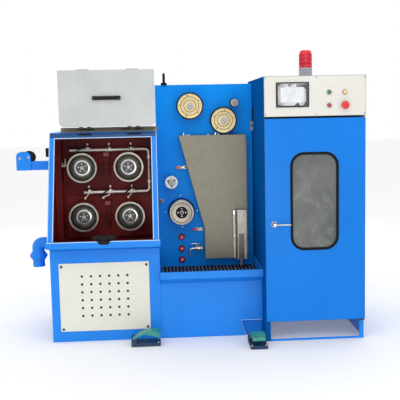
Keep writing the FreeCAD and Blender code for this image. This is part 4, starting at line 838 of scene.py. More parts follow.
def makeCone(node):
    centre, radius, depth = wheelSeat(node)
    s = coneSizes
    stepsEnd = depth - 8
    begin = stepsEnd - s["steps"] * s["stepWidth"]
    profile = [(0, 0), (s["shaftRadius"], 0), (s["shaftRadius"], begin)]
    finish = [3, 3, 3]
    for step in range(s["steps"]):
        ringRadius = radius - s["stepFall"] * (s["steps"] - 1 - step)
        base = begin + step * s["stepWidth"]
        profile += [(ringRadius - 1, base), (ringRadius, base + 1), (ringRadius - 0.7, base + 9),
                    (ringRadius - 0.7, base + 17), (ringRadius, base + s["stepWidth"] - 1)]
        finish += [4, 4, 4, 4, 4]
    rim, groove = radius - s["rimWidth"], radius - s["rimWidth"] - s["grooveWidth"]
    floor, crownZ, hubZ = depth - s["dishDepth"], depth - s["crownDrop"], depth - s["hubDrop"]
    crown, hub, eye = s["crownRadius"], s["hubRadius"], s["centreRadius"]
    profile += [(radius - 1.5, depth), (rim + 2, depth), (rim, depth - 2), (rim - 1.5, depth - 9),
                (groove + 2, floor + 6), (groove, floor), (groove - 6, floor), (groove - 7.5, floor + 2),
                (61, floor + 8), (60, floor + 10.5), (crown + 4, crownZ - 1), (crown, crownZ),
                (hub + 2.5, crownZ), (hub, crownZ - 3), (hub, hubZ), (13.5, hubZ), (12.5, hubZ + 2.5),
                (eye, hubZ + 2.5), (eye - 1, hubZ - 3), (0, hubZ - 3)]
    finish += [4, 4, 0, 1, 1, 1, 1, 5, 4, 4, 0, 0, 0, 1, 2, 0, 0, 0, 1, 1]
    bm = bmesh.new()
    addLathe(bm, profile, centre, steps=72, indices=finish)
    addPiece(node + "-drum", bm, node, ["brightMetal", "darkGroove", "darkSteel", "darkSteel", "turnedSteel",
                                        "dishSteel"], [node], smooth=24)
    front = centre + Vector((0, -hubZ * mm, 0))
    repeatPart(node + "-bolts", ringTree, screwHead(s["boltRadius"], 4.5, (0, 0, 1)), node, "brightMetal",
               slotName="drawing_steel", Count=s["boltCount"], Radius=s["boltCircle"] * mm, Start=0.4,
               Centre=front)
    bm = bmesh.new()
    addLathe(bm, [(0, 0), (7.2, 0), (7.2, 2), (6.2, 3), (3.2, 3), (2.8, 0.6), (0, 0.6)],
             front + Vector((0, 0.003, 0)), steps=20)
    addPiece(node + "-centre", bm, node, "brightMetal", slotName="drawing_steel")


for node in ("cone_upper_left", "cone_upper_right", "cone_lower_left", "cone_lower_right"):
    makeCone(node)
print("drawing cones")

# ---- sheaves, idlers and the exit capstan

sheaveSizes = {"groove": 9.0, "rimEdge": 82.0, "faceDrop": 3.5, "ridgeOne": 62.0, "ridgeTwo": 42.0,
               "hubRadius": 23.0, "outerHoles": 5, "outerHoleCircle": 70.0, "innerHoles": 4,
               "innerHoleCircle": 46.0, "holeRadius": 4.4}


def makeSheave(node, start):
    centre, radius, depth = wheelSeat(node)
    s = sheaveSizes
    hub, edge, one, two = s["hubRadius"], s["rimEdge"], s["ridgeOne"], s["ridgeTwo"]
    back, front = 5.0, depth - 5.0
    face = front - s["faceDrop"]
    half = (back + front) / 2
    bm = bmesh.new()
    profile = [(10.2, 0), (hub, 0), (hub, back + 6), (edge - 8, back + 6), (edge - 6, back),
               (radius - 1.5, back), (radius, back + 2), (radius - s["groove"], half), (radius, front - 2),
               (radius - 1.5, front), (edge + 1, front), (edge, front - 0.6), (edge - 3, face),
               (one + 1.2, face), (one + 0.4, face - 1.8), (one - 3.2, face - 1.8), (one - 4, face + 0.8),
               (two + 1, face + 0.8), (two, face - 1.2), (two - 3.4, face - 1.2), (two - 4.4, face + 1.5),
               (hub + 2, face + 1.5), (hub, face + 2.5), (hub - 1, depth - 1), (hub - 2, depth), (10.2, depth)]
    finish = [0, 0, 0, 0, 1, 1, 1, 1, 1, 1, 1, 0, 0, 0, 3, 0, 0, 0, 3, 0, 0, 0, 2, 2, 2]
    addLathe(bm, profile, centre, steps=72, indices=finish + [1], closed=True)
    addPiece(node + "-wheel", bm, node, ["sheaveCream", "blackSteel", "hubWhite", "creamGroove"], [node],
             smooth=24)
    hole = s["holeRadius"]
    spot = centre + Vector((0, -(face + 0.3) * mm, 0))
    for label, count, circle in (("outer", s["outerHoles"], s["outerHoleCircle"]),
                                 ("inner", s["innerHoles"], s["innerHoleCircle"])):
        ring = bmesh.new()
        addLathe(ring, [(0, 0), (hole, 0), (hole, 0.5), (hole - 0.8, 0.5), (hole - 1, 0.1), (0, 0.1)],
                 (0, 0, 0), (0, 0, 1), 12)
        repeatPart(node + "-" + label + "Holes", ringTree, loosePart("hole", ring), node, "darkSteel",
                   slotName="sheave_cream", Count=count, Radius=circle * mm,
                   Start=start + (0.5 if label == "inner" else 0), Centre=spot)


makeSheave("sheave_upper", 0.55)
makeSheave("sheave_lower", 0.2)

axleCaps = {"washer": 13.5, "nut": 7.0, "proud": 7.2}
refine("wheel_axles", "capSteel", 0.8)
bm = bmesh.new()
for node in ("sheave_upper", "sheave_lower"):
    spot = middle(node)
    spot.y = lo(node).y - axleCaps["proud"] * mm
    addLathe(bm, [(0, 0), (axleCaps["washer"], 0), (axleCaps["washer"], 1.5), (9, 1.8), (8.4, 1.2), (0, 1.0)],
             spot, steps=24)
    addLathe(bm, [(0, 0), (axleCaps["nut"], 0), (axleCaps["nut"], 2.4), (4, 2.4), (3.4, 1), (0, 1)], spot,
             steps=6, indices=[1])
addPiece("sheaveCaps", bm, "root", ["hubWhite", "darkSteel"], slotName="bright_metal")


idlerSizes = {"flangeRadius": 44.0, "grooveRadius": 37.0, "holes": 3, "holeCircle": 26.0,
              "rollerRadius": 29.0, "lobes": 6, "lobeCircle": 21.5}


def makeIdlers():
    # polished idler with a flat flanged face
    centre, _, depth = wheelSeat("plain_idler")
    rim, groove = idlerSizes["flangeRadius"], idlerSizes["grooveRadius"]
    bm = bmesh.new()
    addLathe(bm, [(10.2, 0), (rim - 2, 0), (rim, 2), (rim, 6), (groove, depth * 0.38), (groove, depth * 0.62),
                  (rim, depth - 6), (rim, depth - 2), (rim - 1.5, depth), (38, depth), (37, depth - 1.6),
                  (31, depth - 1.2), (24, depth - 2.6), (18.5, depth - 0.6), (10.2, depth - 0.6)], centre,
             steps=56, closed=True, indices=[0])
    addPiece("plainIdlerWheel", bm, "plain_idler", "mirrorSteel", ["plain_idler"], smooth=24)
    spot = Vector((centre.x, lo("plain_idler").y + 0.0014, centre.z))
    repeatPart("plainIdlerHoles", ringTree, screwHead(6, 1.2, (0, 0, 1)), "plain_idler", "blackSteel",
               slotName="bright_metal", Count=idlerSizes["holes"], Radius=idlerSizes["holeCircle"] * mm,
               Start=0.6, Centre=spot)
    # roller with a pale six-lobed cap
    centre, _, depth = wheelSeat("cap_idler")
    rim = idlerSizes["rollerRadius"]
    bm = bmesh.new()
    addLathe(bm, [(10.2, 0), (rim - 1, 0), (rim, 1), (rim, 8), (25, 11), (25, depth - 16), (rim, depth - 13),
                  (rim, depth - 9), (23.5, depth - 8), (23.5, depth - 1.5), (22, depth), (17.5, depth),
                  (17.5, depth - 1), (10.2, depth - 1)], centre, steps=48, closed=True,
             indices=[0, 0, 0, 0, 0, 0, 0, 0, 1, 1, 1, 1, 1, 0])
    addPiece("capIdlerRoller", bm, "cap_idler", ["blackSteel", "hubWhite"], ["cap_idler"], smooth=24)
    lobe = bmesh.new()
    addLathe(lobe, [(0, -5), (4.4, -5), (4.4, 0.6), (3.6, 1.2), (0, 1.2)], (0, 0, 0), (0, 0, 1), 14)
    repeatPart("capIdlerLobes", ringTree, loosePart("lobe", lobe), "cap_idler", "hubWhite",
               slotName="black_steel", Count=idlerSizes["lobes"], Radius=idlerSizes["lobeCircle"] * mm,
               Start=0.2, Centre=Vector((centre.x, lo("cap_idler").y + 0.0012, centre.z)))


makeIdlers()

capstanSizes = {"drumRadius": 82.0, "land": 74.0, "hubRadius": 38.0, "hubDrop": 14.0, "bolts": 4,
                "boltCircle": 25.0, "ringBolts": 4, "ringBoltCircle": 109.0}


def makeCapstan():
    s = capstanSizes
    rim, hub, land = s["drumRadius"], s["hubRadius"], s["land"]
    centre, _, depth = wheelSeat("exit_capstan")
    drum, hubZ = depth - 62, depth - s["hubDrop"]
    profile = [(0, 0), (26, 0), (26, drum), (rim - 2, drum), (rim, drum + 2), (rim, drum + 8),
               (land, drum + 13), (land - 0.6, drum + 31), (land, depth - 13), (rim, depth - 8),
               (rim, depth - 2), (rim - 1.5, depth), (rim - 10, depth), (rim - 11, depth - 2),
               (66.5, depth - 2.4), (65.5, depth - 4.6), (59, depth - 5), (58, depth - 7.2), (52, depth - 7.6),
               (51, depth - 9.6), (hub + 3, depth - 10), (hub, depth - 11.5), (hub - 1, hubZ), (14, hubZ),
               (13, hubZ + 3), (8, hubZ + 3.4), (7, hubZ), (0, hubZ)]
    finish = [3, 3, 0, 0, 0, 0, 0, 0, 0, 0, 0, 0, 0, 1, 1, 0, 1, 0, 1, 0, 1, 2, 2, 0, 0, 0, 2]
    bm = bmesh.new()
    addLathe(bm, profile, centre, steps=72, indices=finish)
    addPiece("capstanDrum", bm, "exit_capstan", ["capstanSteel", "ringSteel", "blackSteel", "darkSteel"],
             ["exit_capstan"], smooth=22)
    shadowRing = Vector((centre.x, lo("rear_housing").y, centre.z))
    # black ring round the capstan on the housing face: painted shadow
    bm = bmesh.new()
    addLathe(bm, [(83.5, -0.4), (91, -0.4), (91, 1.0), (83.5, 1.0)], shadowRing, steps=64, closed=True, indices=[0])
    addPiece("capstanSeal", bm, "root", ["blackRubber"], slotName="black_rubber")
    front = centre + Vector((0, -hubZ * mm, 0))
    repeatPart("capstanBolts", ringTree, screwHead(6.0, 4.5, (0, 0, 1)), "exit_capstan", "brightMetal",
               slotName="drawing_steel", Count=s["bolts"], Radius=s["boltCircle"] * mm, Start=0.0, Centre=front)
    repeatPart("capstanRingBolts", ringTree, hexBolt(5, 4, (0, 0, 1), False), "root", "brightMetal",
               slotName="bright_metal", Count=s["ringBolts"], Radius=s["ringBoltCircle"] * mm, Start=0.03,
               Centre=Vector((centre.x, place(0, panelY, 0).y, centre.z)))


makeCapstan()
print("wheels and capstan")

# ---- coolant pipes with tee valves

coolant = {"pipeRadius": 9.5, "bend": 26.0, "teeRadius": 13.0, "teeLength": 46.0, "columns": (32, 175, 320),
           "longLever": 74.0, "shortLever": 12.0, "spoutRadius": 3.4}


def makeCoolant():
    low, high = span("coolant_pipes")
    upperZ, lowerZ = layout(hi("cone_upper_left")).z + 14, layout(lo("cone_upper_left")).z - 71
    left, right, y = low.x, high.x - 10, low.y + 14
    start = layout(middle("cone_upper_left")).x
    columns = [start + along for along in coolant["columns"]]
    pipe, tee, half = coolant["pipeRadius"], coolant["teeRadius"], coolant["teeLength"] / 2
    bm = bmesh.new()
    path = smoothPath([place(left, y, upperZ), place(right, y, upperZ), place(right, y, lowerZ),
                       place(start - 1, y, lowerZ)], coolant["bend"] * mm, 8)
    addTube(bm, path, pipe, 18, 0)
    for z in (upperZ, lowerZ):
        for number, x in enumerate(columns):
            addLathe(bm, [(0, 0), (pipe + 2, 0), (tee, 1.5), (tee, 9), (11.5, 10), (11.5, 36),
                          (tee, 37), (tee, 44.5), (pipe + 2, 46), (0, 46)], place(x - half, y, z), (1, 0, 0),
                     20, [0])
            # valve body, cone neck and cap over the tee
            addLathe(bm, [(0, 4), (19, 4), (19, 9), (13, 20), (8, 29), (6, 33), (0, 33)], place(x, y, z),
                     (0, 0, 1), 18, [0])
            addLathe(bm, [(13.6, 20), (8.6, 29.2), (4, 29.2)], place(x, y, z), (0, 0, 1), 18, [2])
            addLathe(bm, [(0, 0), (5.5, 0), (8, 3), (8.6, 7), (7, 12), (3, 14.4), (0, 14.6)],
                     place(x, y, z + 32), (0, 0, 1), 16, [1])
            # black lever that leans down to the left
            isLong = (z == upperZ and number == 0) or (z == lowerZ and number > 0)
            reach = coolant["longLever"] if isLong else coolant["shortLever"]
            drop = (2 if z == upperZ else 30) if isLong else -2
            addTube(bm, [place(x - 3, y - 17, z + 26), place(x - reach, y - 19, z - drop)], [5.2, 3.0], 10, 2)
            if z == lowerZ:      # spout down to the wheel, with a bright tip
                tipX = x - (46 if number == 1 else 24)
                spout = smoothPath([place(x - 2, y - 6, z - 6), place(x - 8, y - 12, z - 20),
                                    place(tipX, y - 18, z - 32)], 12 * mm, 5)
                addTube(bm, spout, coolant["spoutRadius"], 10, 0)
                addLathe(bm, [(0, 0), (5, 1), (9, 6), (9, 11), (5, 16), (0, 17)],
                         place(tipX - 2, y - 18, z - 46), (0.1, 0, 1), 18, [1])
    # clips to the back plate
    for x in (columns[0] + 66, columns[2] + 52):
        for z in (upperZ, lowerZ):
            addRod(bm, place(x, y, z), place(x, layout(lo("chamber_back_plate")).y - 0.2, z), 6.5, 14, 0)
            addLathe(bm, [(0, 0), (11, 0), (11, 9), (0, 9)], place(x - 4.5, y, z), (1, 0, 0), 18, [0])
    # unions in the upright run
    for z in (upperZ - 60, lowerZ + 60):
        addLathe(bm, [(0, 0), (13, 0), (13, 14), (0, 14)], place(right, y, z), (0, 0, 1), 6, [0])
    addPiece("coolantRun", bm, "root", ["pipeSteel", "nozzleTip", "blackSteel"], ["coolant_pipes"], smooth=40)
    # small inlet nozzle beside the upper left cone
    bm = bmesh.new()
    nozzle = Vector((layout(lo("cone_upper_left")).x - 22, y + 10, layout(middle("cone_upper_left")).z + 12))
    addRod(bm, place(nozzle.x - 38, nozzle.y, nozzle.z - 3), place(nozzle.x + 10, nozzle.y, nozzle.z), 8.5, 16,
           0)
    addRod(bm, place(nozzle.x - 8, nozzle.y, nozzle.z), place(nozzle.x - 8, layout(lo("chamber_back_plate")).y,
            nozzle.z), 9, 16, 0)
    addLathe(bm, [(0, 0), (11, 0), (11, 9), (7, 16), (5, 40), (3.2, 46), (0, 46)],
             place(nozzle.x, nozzle.y, nozzle.z), (0.05, 0, 1), 16, [1])
    addTube(bm, smoothPath([place(nozzle.x - 16, nozzle.y, nozzle.z + 6),
                            place(nozzle.x - 22, nozzle.y, nozzle.z + 24),
                            place(nozzle.x - 36, nozzle.y, nozzle.z + 42)], 0.01, 4), 2.4, 10, 0)
    addPiece("inletNozzle", bm, "root", ["pipeSteel", "nozzleTip"], slotName="bright_metal", smooth=40)


makeCoolant()

# ---- die holders and what else stands on the chamber's back plate

dies = {"blockWidth": 48.0, "blockHeight": 36.0, "nutDrops": (68, 115), "knurls": 16, "knurlRing": 10.6,
        "screwColumns": (0.14, 0.38, 0.62, 0.86)}


def makeDies():
    low, high = span("die_holders")
    backY = high.y
    halfWide, halfTall = dies["blockWidth"] / 2, dies["blockHeight"] / 2
    bm = bmesh.new()
    spots = []
    for node in ("cone_upper_left", "cone_lower_left"):
        row = layout(middle(node)).z
        x, z = (low.x + high.x) / 2, row + 80
        slab(bm, x - 17, x + 17, backY - 30, backY, row - 75, z - 10, 0)
        slab(bm, x - halfWide, x + halfWide, backY - 56, backY, z - halfTall, z + halfTall, 0)
        slab(bm, x - halfWide + 6, x + halfWide - 6, backY - 58, backY - 55, z - halfTall + 5, z + halfTall - 5,
             1)
        slab(bm, x - 52, x - 17, backY - 24, backY - 10, row - 12, row + 6, 0)
        slab(bm, x + 17, x + 44, backY - 24, backY - 10, row - 12, row + 6, 0)
        for drop in dies["nutDrops"]:
            spots.append(place(x, backY - 30, z - drop))
            addLathe(bm, [(0, 0), (7, 0), (7, 26), (10.5, 28), (10.5, 44), (8.5, 46), (0, 46)],
                     place(x, backY - 30, z - drop), steps=24, indices=[0, 0, 0, 3, 3, 3])
    addPiece("dieHolders", bm, "root", ["maroonPaint", "dieRed", "darkSteel", "maroonDark"], ["die_holders"],
             bevel=1.6)
    for number, spot in enumerate(spots):
        rib = bmesh.new()
        addBox(rib, (-0.8 * mm, -0.8 * mm, -7.5 * mm), (0.8 * mm, 0.8 * mm, 7.5 * mm))
        repeatPart("dieKnurls%d" % number, ringTree, loosePart("knurl", rib), "root", "maroonDark",
                   slotName="maroon_paint", Count=dies["knurls"], Radius=dies["knurlRing"] * mm, Start=0.0,
                   Centre=spot + Vector((0, -36 * mm, 0)))
    # dark port, upper left
    port = place(chamberLeft + 118, backY, layout(hi("cone_upper_left")).z + 55)
    bm = bmesh.new()
    addLathe(bm, [(27, 0), (36, 0), (36, 7), (34, 9), (29, 9), (27, 6)], port, steps=40, indices=[0],
             closed=True)
    addLathe(bm, [(0, 0.4), (28, 0.4), (28, 1), (0, 1)], port, steps=40, indices=[1])
    addPiece("chamberPort", bm, "root", ["maroonDark", "maroonPaint"], slotName="maroon_paint")
    # box columns down both sides of the chamber, the right one dark maroon as painted shade in that corner, and
    # a box edge behind the lower left cone
    bm = bmesh.new()
    inner = span("chamber_back_plate")
    slab(bm, inner[0].x + 1, inner[0].x + 44, backY - 120, backY - 3, inner[0].z + 1, inner[1].z - 1)
    slab(bm, inner[1].x - 26, inner[1].x - 1, backY - 60, backY - 3, inner[0].z + 1, inner[1].z - 1, 1)
    slab(bm, inner[0].x + 60, inner[1].x - 34, backY - 12, backY - 3, inner[0].z + 4, inner[0].z + 290, 2)
    addPiece("chamberColumns", bm, "root", ["maroonPaint", "maroonDark", "maroonLight"],
             slotName="maroon_paint", bevel=2.5)
    # screws over the back plate
    gap = inner[1].x - inner[0].x
    points = [place(inner[0].x + gap * share, layout(lo("chamber_back_plate")).y, z)
              for share in dies["screwColumns"]
              for z in (inner[0].z + 40, (inner[0].z + inner[1].z) / 2 + 34, inner[1].z - 34)]
    repeatPart("backPlateScrews", spotTree, screwHead(5, 3), "root", "maroonPaint", slotName="maroon_paint",
               points=points)


makeDies()
print("coolant and dies")

# ---- control panel

controls = {"screenFrame": 4.0, "bezelRadius": 15.0, "teeth": 28, "screwRadius": 4.4}


def makeScreen():
    low, high = span("touch_screen")
    cx, cz, width, height = (low.x + high.x) / 2, (low.z + high.z) / 2, high.x - low.x, high.z - low.z

    def loop(inset, y, corner):
        return [place(*point) for point in roundedOutline(cx, cz, width - 2 * inset, height - 2 * inset, corner,
                y, 4)]
    bm = bmesh.new()
    frameWidth = controls["screenFrame"]
    addLoft(bm, [loop(0, 0, 3), loop(0, -3.4, 3), loop(1.4, -4.8, 2.6), loop(frameWidth, -4.8, 2),
                 loop(frameWidth + 0.8, -3.6, 2)], 0, True)
    addLoft(bm, [loop(frameWidth + 0.8, -3.6, 2), loop(frameWidth + 1.0, -3.5, 2)], 1, False, True)
    # half-peeled film: a pale sheet with torn corners over the dark glass
    film = [(-0.44, 0.34), (-0.36, 0.43), (-0.16, 0.43), (-0.10, 0.30), (0.02, 0.43), (0.13, 0.43),
            (0.10, 0.31), (0.34, 0.30), (0.40, 0.20), (0.41, -0.24), (0.33, -0.43), (0.22, -0.43),
            (0.17, -0.30), (0.05, -0.43), (-0.30, -0.43), (-0.43, -0.38)]
    sheet = [place(cx + x * width, -4.0, cz + z * height) for x, z in film]
    addPrism(bm, sheet[::-1], (0, -0.5 * mm, 0), 2)
    pad = [place(*point) for point in roundedOutline(cx - 3, cz - 1, width * 0.7, height * 0.6, 4, -4.5, 4)]
    addPrism(bm, pad, (0, -0.4 * mm, 0), 3)
    addPiece("touchScreen", bm, "root", ["blackPlastic", "screenGlass", "screenFilm", "screenPale"],
             ["touch_screen"], smooth=30)


makeScreen()


def makeButtons():
    low, high = span("push_buttons")
    ring = controls["bezelRadius"]
    leftX, rightX, topZ, bottomZ = low.x + ring, high.x - ring, high.z - ring, low.z + ring
    bm = bmesh.new()
    for x, z, index in ((leftX, topZ, 1), (rightX, topZ, 2), (leftX, bottomZ, 3)):
        spot = place(x, 0, z)
        addLathe(bm, [(0, -28), (10.8, -28), (10.8, 0), (ring, 0), (ring, 4), (13.4, 6.5), (12.2, 6.5),
                      (11.6, 5)], spot, steps=36, indices=[0])
        addLathe(bm, [(11.7, 4.5), (11.4, 8.5), (10, 10.6), (6, 11.6), (0, 11.9)], spot, steps=36,
                 indices=[index, index, index, 4 if index == 2 else index])
    addPiece("pushButtons", bm, "root", ["bezelSteel", "buttonGreen", "buttonYellow", "buttonViolet",
                                         "hubWhite"], ["push_buttons"], smooth=40)
    for number, (x, z) in enumerate(((leftX, topZ), (rightX, topZ), (leftX, bottomZ))):
        tooth = bmesh.new()
        addBox(tooth, (-0.5 * mm, 0, -0.5 * mm), (0.5 * mm, 3 * mm, 0.5 * mm))
        repeatPart("buttonTeeth%d" % number, ringTree, loosePart("tooth", tooth), "root", "bezelSteel",
                   slotName="button_mixed", Count=controls["teeth"], Radius=ring * mm, Start=0.0,
                   Centre=place(x, -0.5, z))
    # mushroom head with a turn-to-release dimple
    low, high = span("stop_button")
    x, z = (low.x + high.x) / 2, (low.z + high.z) / 2
    stand, radius = -low.y, (high.x - low.x) / 2
    bm = bmesh.new()
    addLathe(bm, [(0, -28), (14.8, -28), (14.8, stand - 18.4), (17, stand - 17.6), (radius - 2.5, stand - 17),
                  (radius, stand - 14.5), (radius, stand - 8.5), (radius - 1.6, stand - 4.6),
                  (radius - 5.5, stand - 1.6), (16, stand - 0.3), (10, stand), (9, stand - 1),
                  (0, stand - 1.2)],
             place(x, 0, z), steps=48, indices=[1, 1, 1, 0])
    addPiece("stopHead", bm, "stop_button", ["stopRed", "blackPlastic"], ["stop_button"], smooth=40)
    bm = bmesh.new()
    addLathe(bm, [(15.3, 0), (20.5, 0), (20.5, 2.4), (19.5, 3.4), (15.3, 3.4)], place(x, 0, z), steps=40,
             closed=True, indices=[0])
    addPiece("stopCollar", bm, "root", ["stopYellow"], slotName="button_mixed", smooth=40)


makeButtons()
wide = layout(hi("control_panel")).x
points = [place(x, 0, z) for x in (9, wide - 9) for z in (roofZ - 12, controlZ + 12)] + [place(wide * 0.51, 0,
        roofZ - 10), place(wide * 0.51, 0, controlZ + 10)]
repeatPart("panelScrews", spotTree, screwHead(controls["screwRadius"], 2.6), "root", "bezelSteel",
           slotName="bright_metal", points=points)
bm = bmesh.new()
for x0, x1, z0, z1 in ((0, wide, roofZ - 2.5, roofZ), (0, 2.5, controlZ, roofZ),
                       (wide - 2.5, wide, controlZ, roofZ), (0, wide, controlZ, controlZ + 2)):
    slab(bm, x0, x1, -1.1, 0.2, z0, z1)
addPiece("panelTrim", bm, "root", "bezelSteel", slotName="bright_metal")
print("controls")

# ---- beacon

beacon = {"ribs": 24, "bands": 3}


def makeBeacon():
    low, high = span("beacon_dome")
    x, y, top, bottom = (low.x + high.x) / 2, (low.y + high.y) / 2, high.z, low.z
    radius = (high.x - low.x) / 2
    height = top - bottom
    bm = bmesh.new()
    profile = [(0, 0), (radius - 1, 0), (radius, 1), (radius, 7), (radius - 2.2, 8.5)]
    for band in range(beacon["bands"]):
        step = (height - 34) / beacon["bands"]
        at = 10 + band * step
        profile += [(radius - 2.4, at), (radius - 3.1, at + step * 0.82), (radius - 1.6, at + step * 0.9),
                    (radius - 1.8, at + step)]
    profile += [(radius - 2.6, height - 20), (radius - 4, height - 9), (radius - 8, height - 3),
                (radius - 14, height - 0.6), (0, height)]
    addLathe(bm, profile, place(x, y, bottom), (0, 0, 1), 56, [0])
    addPiece("beaconDome", bm, "root", ["beaconRed"], ["beacon_dome"], smooth=50)
    # upright ribs moulded round the lens
    rib = bmesh.new()
    addBox(rib, (-1.6 * mm, -1.2 * mm, 0), (1.2 * mm, 1.2 * mm, (height - 30) * mm))
    repeatPart("beaconRibs", ringTree, loosePart("rib", rib), "root", "beaconRed", slotName="beacon_red",
               Count=beacon["ribs"], Radius=(radius - 2.4) * mm, Start=0.0, Upright=True,
               Centre=place(x, y, bottom + 9))
    low, high = span("beacon_base")
    height = high.z - low.z
    radius = (high.x - low.x) / 2
    bm = bmesh.new()
    addLathe(bm, [(0, 0), (radius, 0), (radius, 5), (radius - 1.5, 6.5), (radius - 3, 8), (radius - 3, 24),
                  (radius - 4, 25), (radius - 4, 28), (radius - 3, 29), (radius - 3, height - 12),
                  (radius - 1, height - 10), (radius - 1, height - 2), (radius - 2.5, height), (0, height)],
             place(x, y, low.z), (0, 0, 1), 56, [0])
    addPiece("beaconBase", bm, "root", ["beaconGrey"], ["beacon_base"], smooth=40)


makeBeacon()

# ---- cabinet door: gasket, pane, lever and hinges

doorTrim = {"gasketWidth": 16.0, "gasketProud": 4.0, "corner": 85.0}


def makeGasket():
    low, high = span("window_gasket")
    cx, cz, width, height = (low.x + high.x) / 2, (low.z + high.z) / 2, high.x - low.x, high.z - low.z

    def loop(inset, y):
        return [place(*point) for point in roundedOutline(cx, cz, width - 2 * inset, height - 2 * inset,
                doorTrim["corner"] - inset, y, 14)]
    bm = bmesh.new()
    w, p = doorTrim["gasketWidth"], doorTrim["gasketProud"]
    loops = [loop(0.2, 0), loop(0, -1.6), loop(1.2, -p + 0.4), loop(3, -p), loop(6.4, -p - 0.2),
             loop(7.2, -1.4), loop(8.2, -1.4), loop(9, -p - 0.2), loop(13, -p), loop(15.4, -p + 1),
             loop(w, -1.4), loop(w, 2.8)]
    addLoft(bm, loops, 0)
    addPiece("windowGasket", bm, "door", ["blackRubber"], ["window_gasket"], smooth=50)


makeGasket()

leverSizes = {"length": 100.0, "hub": 14.0}


def makeLever():
    low, high = span("door_lever")
    long, hub = leverSizes["length"], leverSizes["hub"]
    x, z, reach = low.x + hub, (low.z + high.z) / 2, -low.y
    bm = bmesh.new()
    addLathe(bm, [(0, -17), (6.9, -17), (6.9, 0.4), (hub, 0.4), (hub, 4), (12.4, 6), (11, 8),
                  (10.2, reach - 12), (10.2, reach - 3), (8, reach), (0, reach)],
             place(x, 0, z), steps=40, indices=[0])
    # grip: an oval bar that swells at its end
    path = [place(x, -reach + 6.6, z), place(x + long * 0.2, -reach + 6.4, z),
            place(x + long * 0.6, -reach + 6.3, z), place(x + long - 12, -reach + 6.4, z - 0.5),
            place(x + long - 2, -reach + 6.6, z - 0.5), place(x + long, -reach + 6.8, z - 0.5)]
    addTube(bm, path, [6.2, 5.6, 5.8, 6.3, 5.0, 2.0], 18, 0)
    addPiece("doorLever", bm, "door_lever", ["brightMetal"], ["door_lever"], smooth=50)
    bm = bmesh.new()
    addLathe(bm, [(14.6, -0.2), (19, -0.2), (19, 1.8), (17.4, 2.8), (14.6, 2.8)], place(x, 0, z), steps=40,
             indices=[0], closed=True)
    addPiece("leverRose", bm, "door", ["bezelSteel"], slotName="bright_metal", smooth=40)


makeLever()
doorLow, doorHigh = span("door_panel")
bm = bmesh.new()
for z in (doorLow.z + 24, doorHigh.z - 24):
    addLathe(bm, [(0, -21), (6.4, -21), (6.4, 21), (0, 21)], place(doorHigh.x - 10, 10, z), (0, 0, 1), 20, [0])
addPiece("hingeBarrels", bm, "door", "darkSteel", slotName="black_steel")
# rubber draught strip that shows as the dark line round the door
bm = bmesh.new()
for x0, x1, z0, z1 in ((8, wide - 8, controlZ - 9.5, controlZ - 1), (30, 34, 160, controlZ - 9.5),
                       (wide - 34, wide - 30, 160, controlZ - 9.5)):
    slab(bm, x0, x1, 18 if z1 - z0 < 20 else 20.6, 27.4, z0, z1)
addPiece("draughtStrip", bm, "root", "blackRubber", slotName="black_rubber")
print("cabinet door")

# ---- annealer cover: hooks on its top edge, knobs down its right edge

cover = {"hooks": (-470, -450, -436, -304, -256, -238), "knobs": (1000, 845, 700, 560)}


def makeCoverTrim():
    low, high = span("annealer_cover")
    bm = bmesh.new()
    for number, x in enumerate(cover["hooks"]):
        tall = 20 if number in (0, 4) else 8
        slab(bm, x - 3.5, x + 3.5, low.y + 5, low.y + 9, high.z - 5, high.z + tall, 0)
        addLathe(bm, [(0, 0), (3.4, 0), (3.4, 3), (2.4, 4), (0, 4)], place(x, low.y + 5, high.z + tall - 5),
                 steps=14, indices=[0])
        if tall > 15:
            addRod(bm, place(x, low.y + 7, high.z + tall - 4), place(x, low.y + 46, high.z + tall - 2), 4, 14,
                   0)
    # folded seam along the cover's face and return flange
    slab(bm, high.x - 1, high.x + 5, low.y + 8, low.y + 12, low.z + 40, high.z - 40, 1)
    addPiece("coverHooks", bm, "root", ["brightMetal", "coverSteel"], slotName="bright_metal", bevel=0.6)
    points = [place(high.x + 4, low.y + 10, z) for z in cover["knobs"]]
    repeatPart("coverKnobs", spotTree, screwHead(6, 7, (1, 0, 0), False), "root", "brightMetal",
               slotName="bright_metal", points=points)


makeCoverTrim()

# ---- wiper: upright box with a narrow rubbing strip and a drain tube

wiper = {"stripGap": 4.0, "stripWidth": 17.0, "tubeRadius": 9.0}


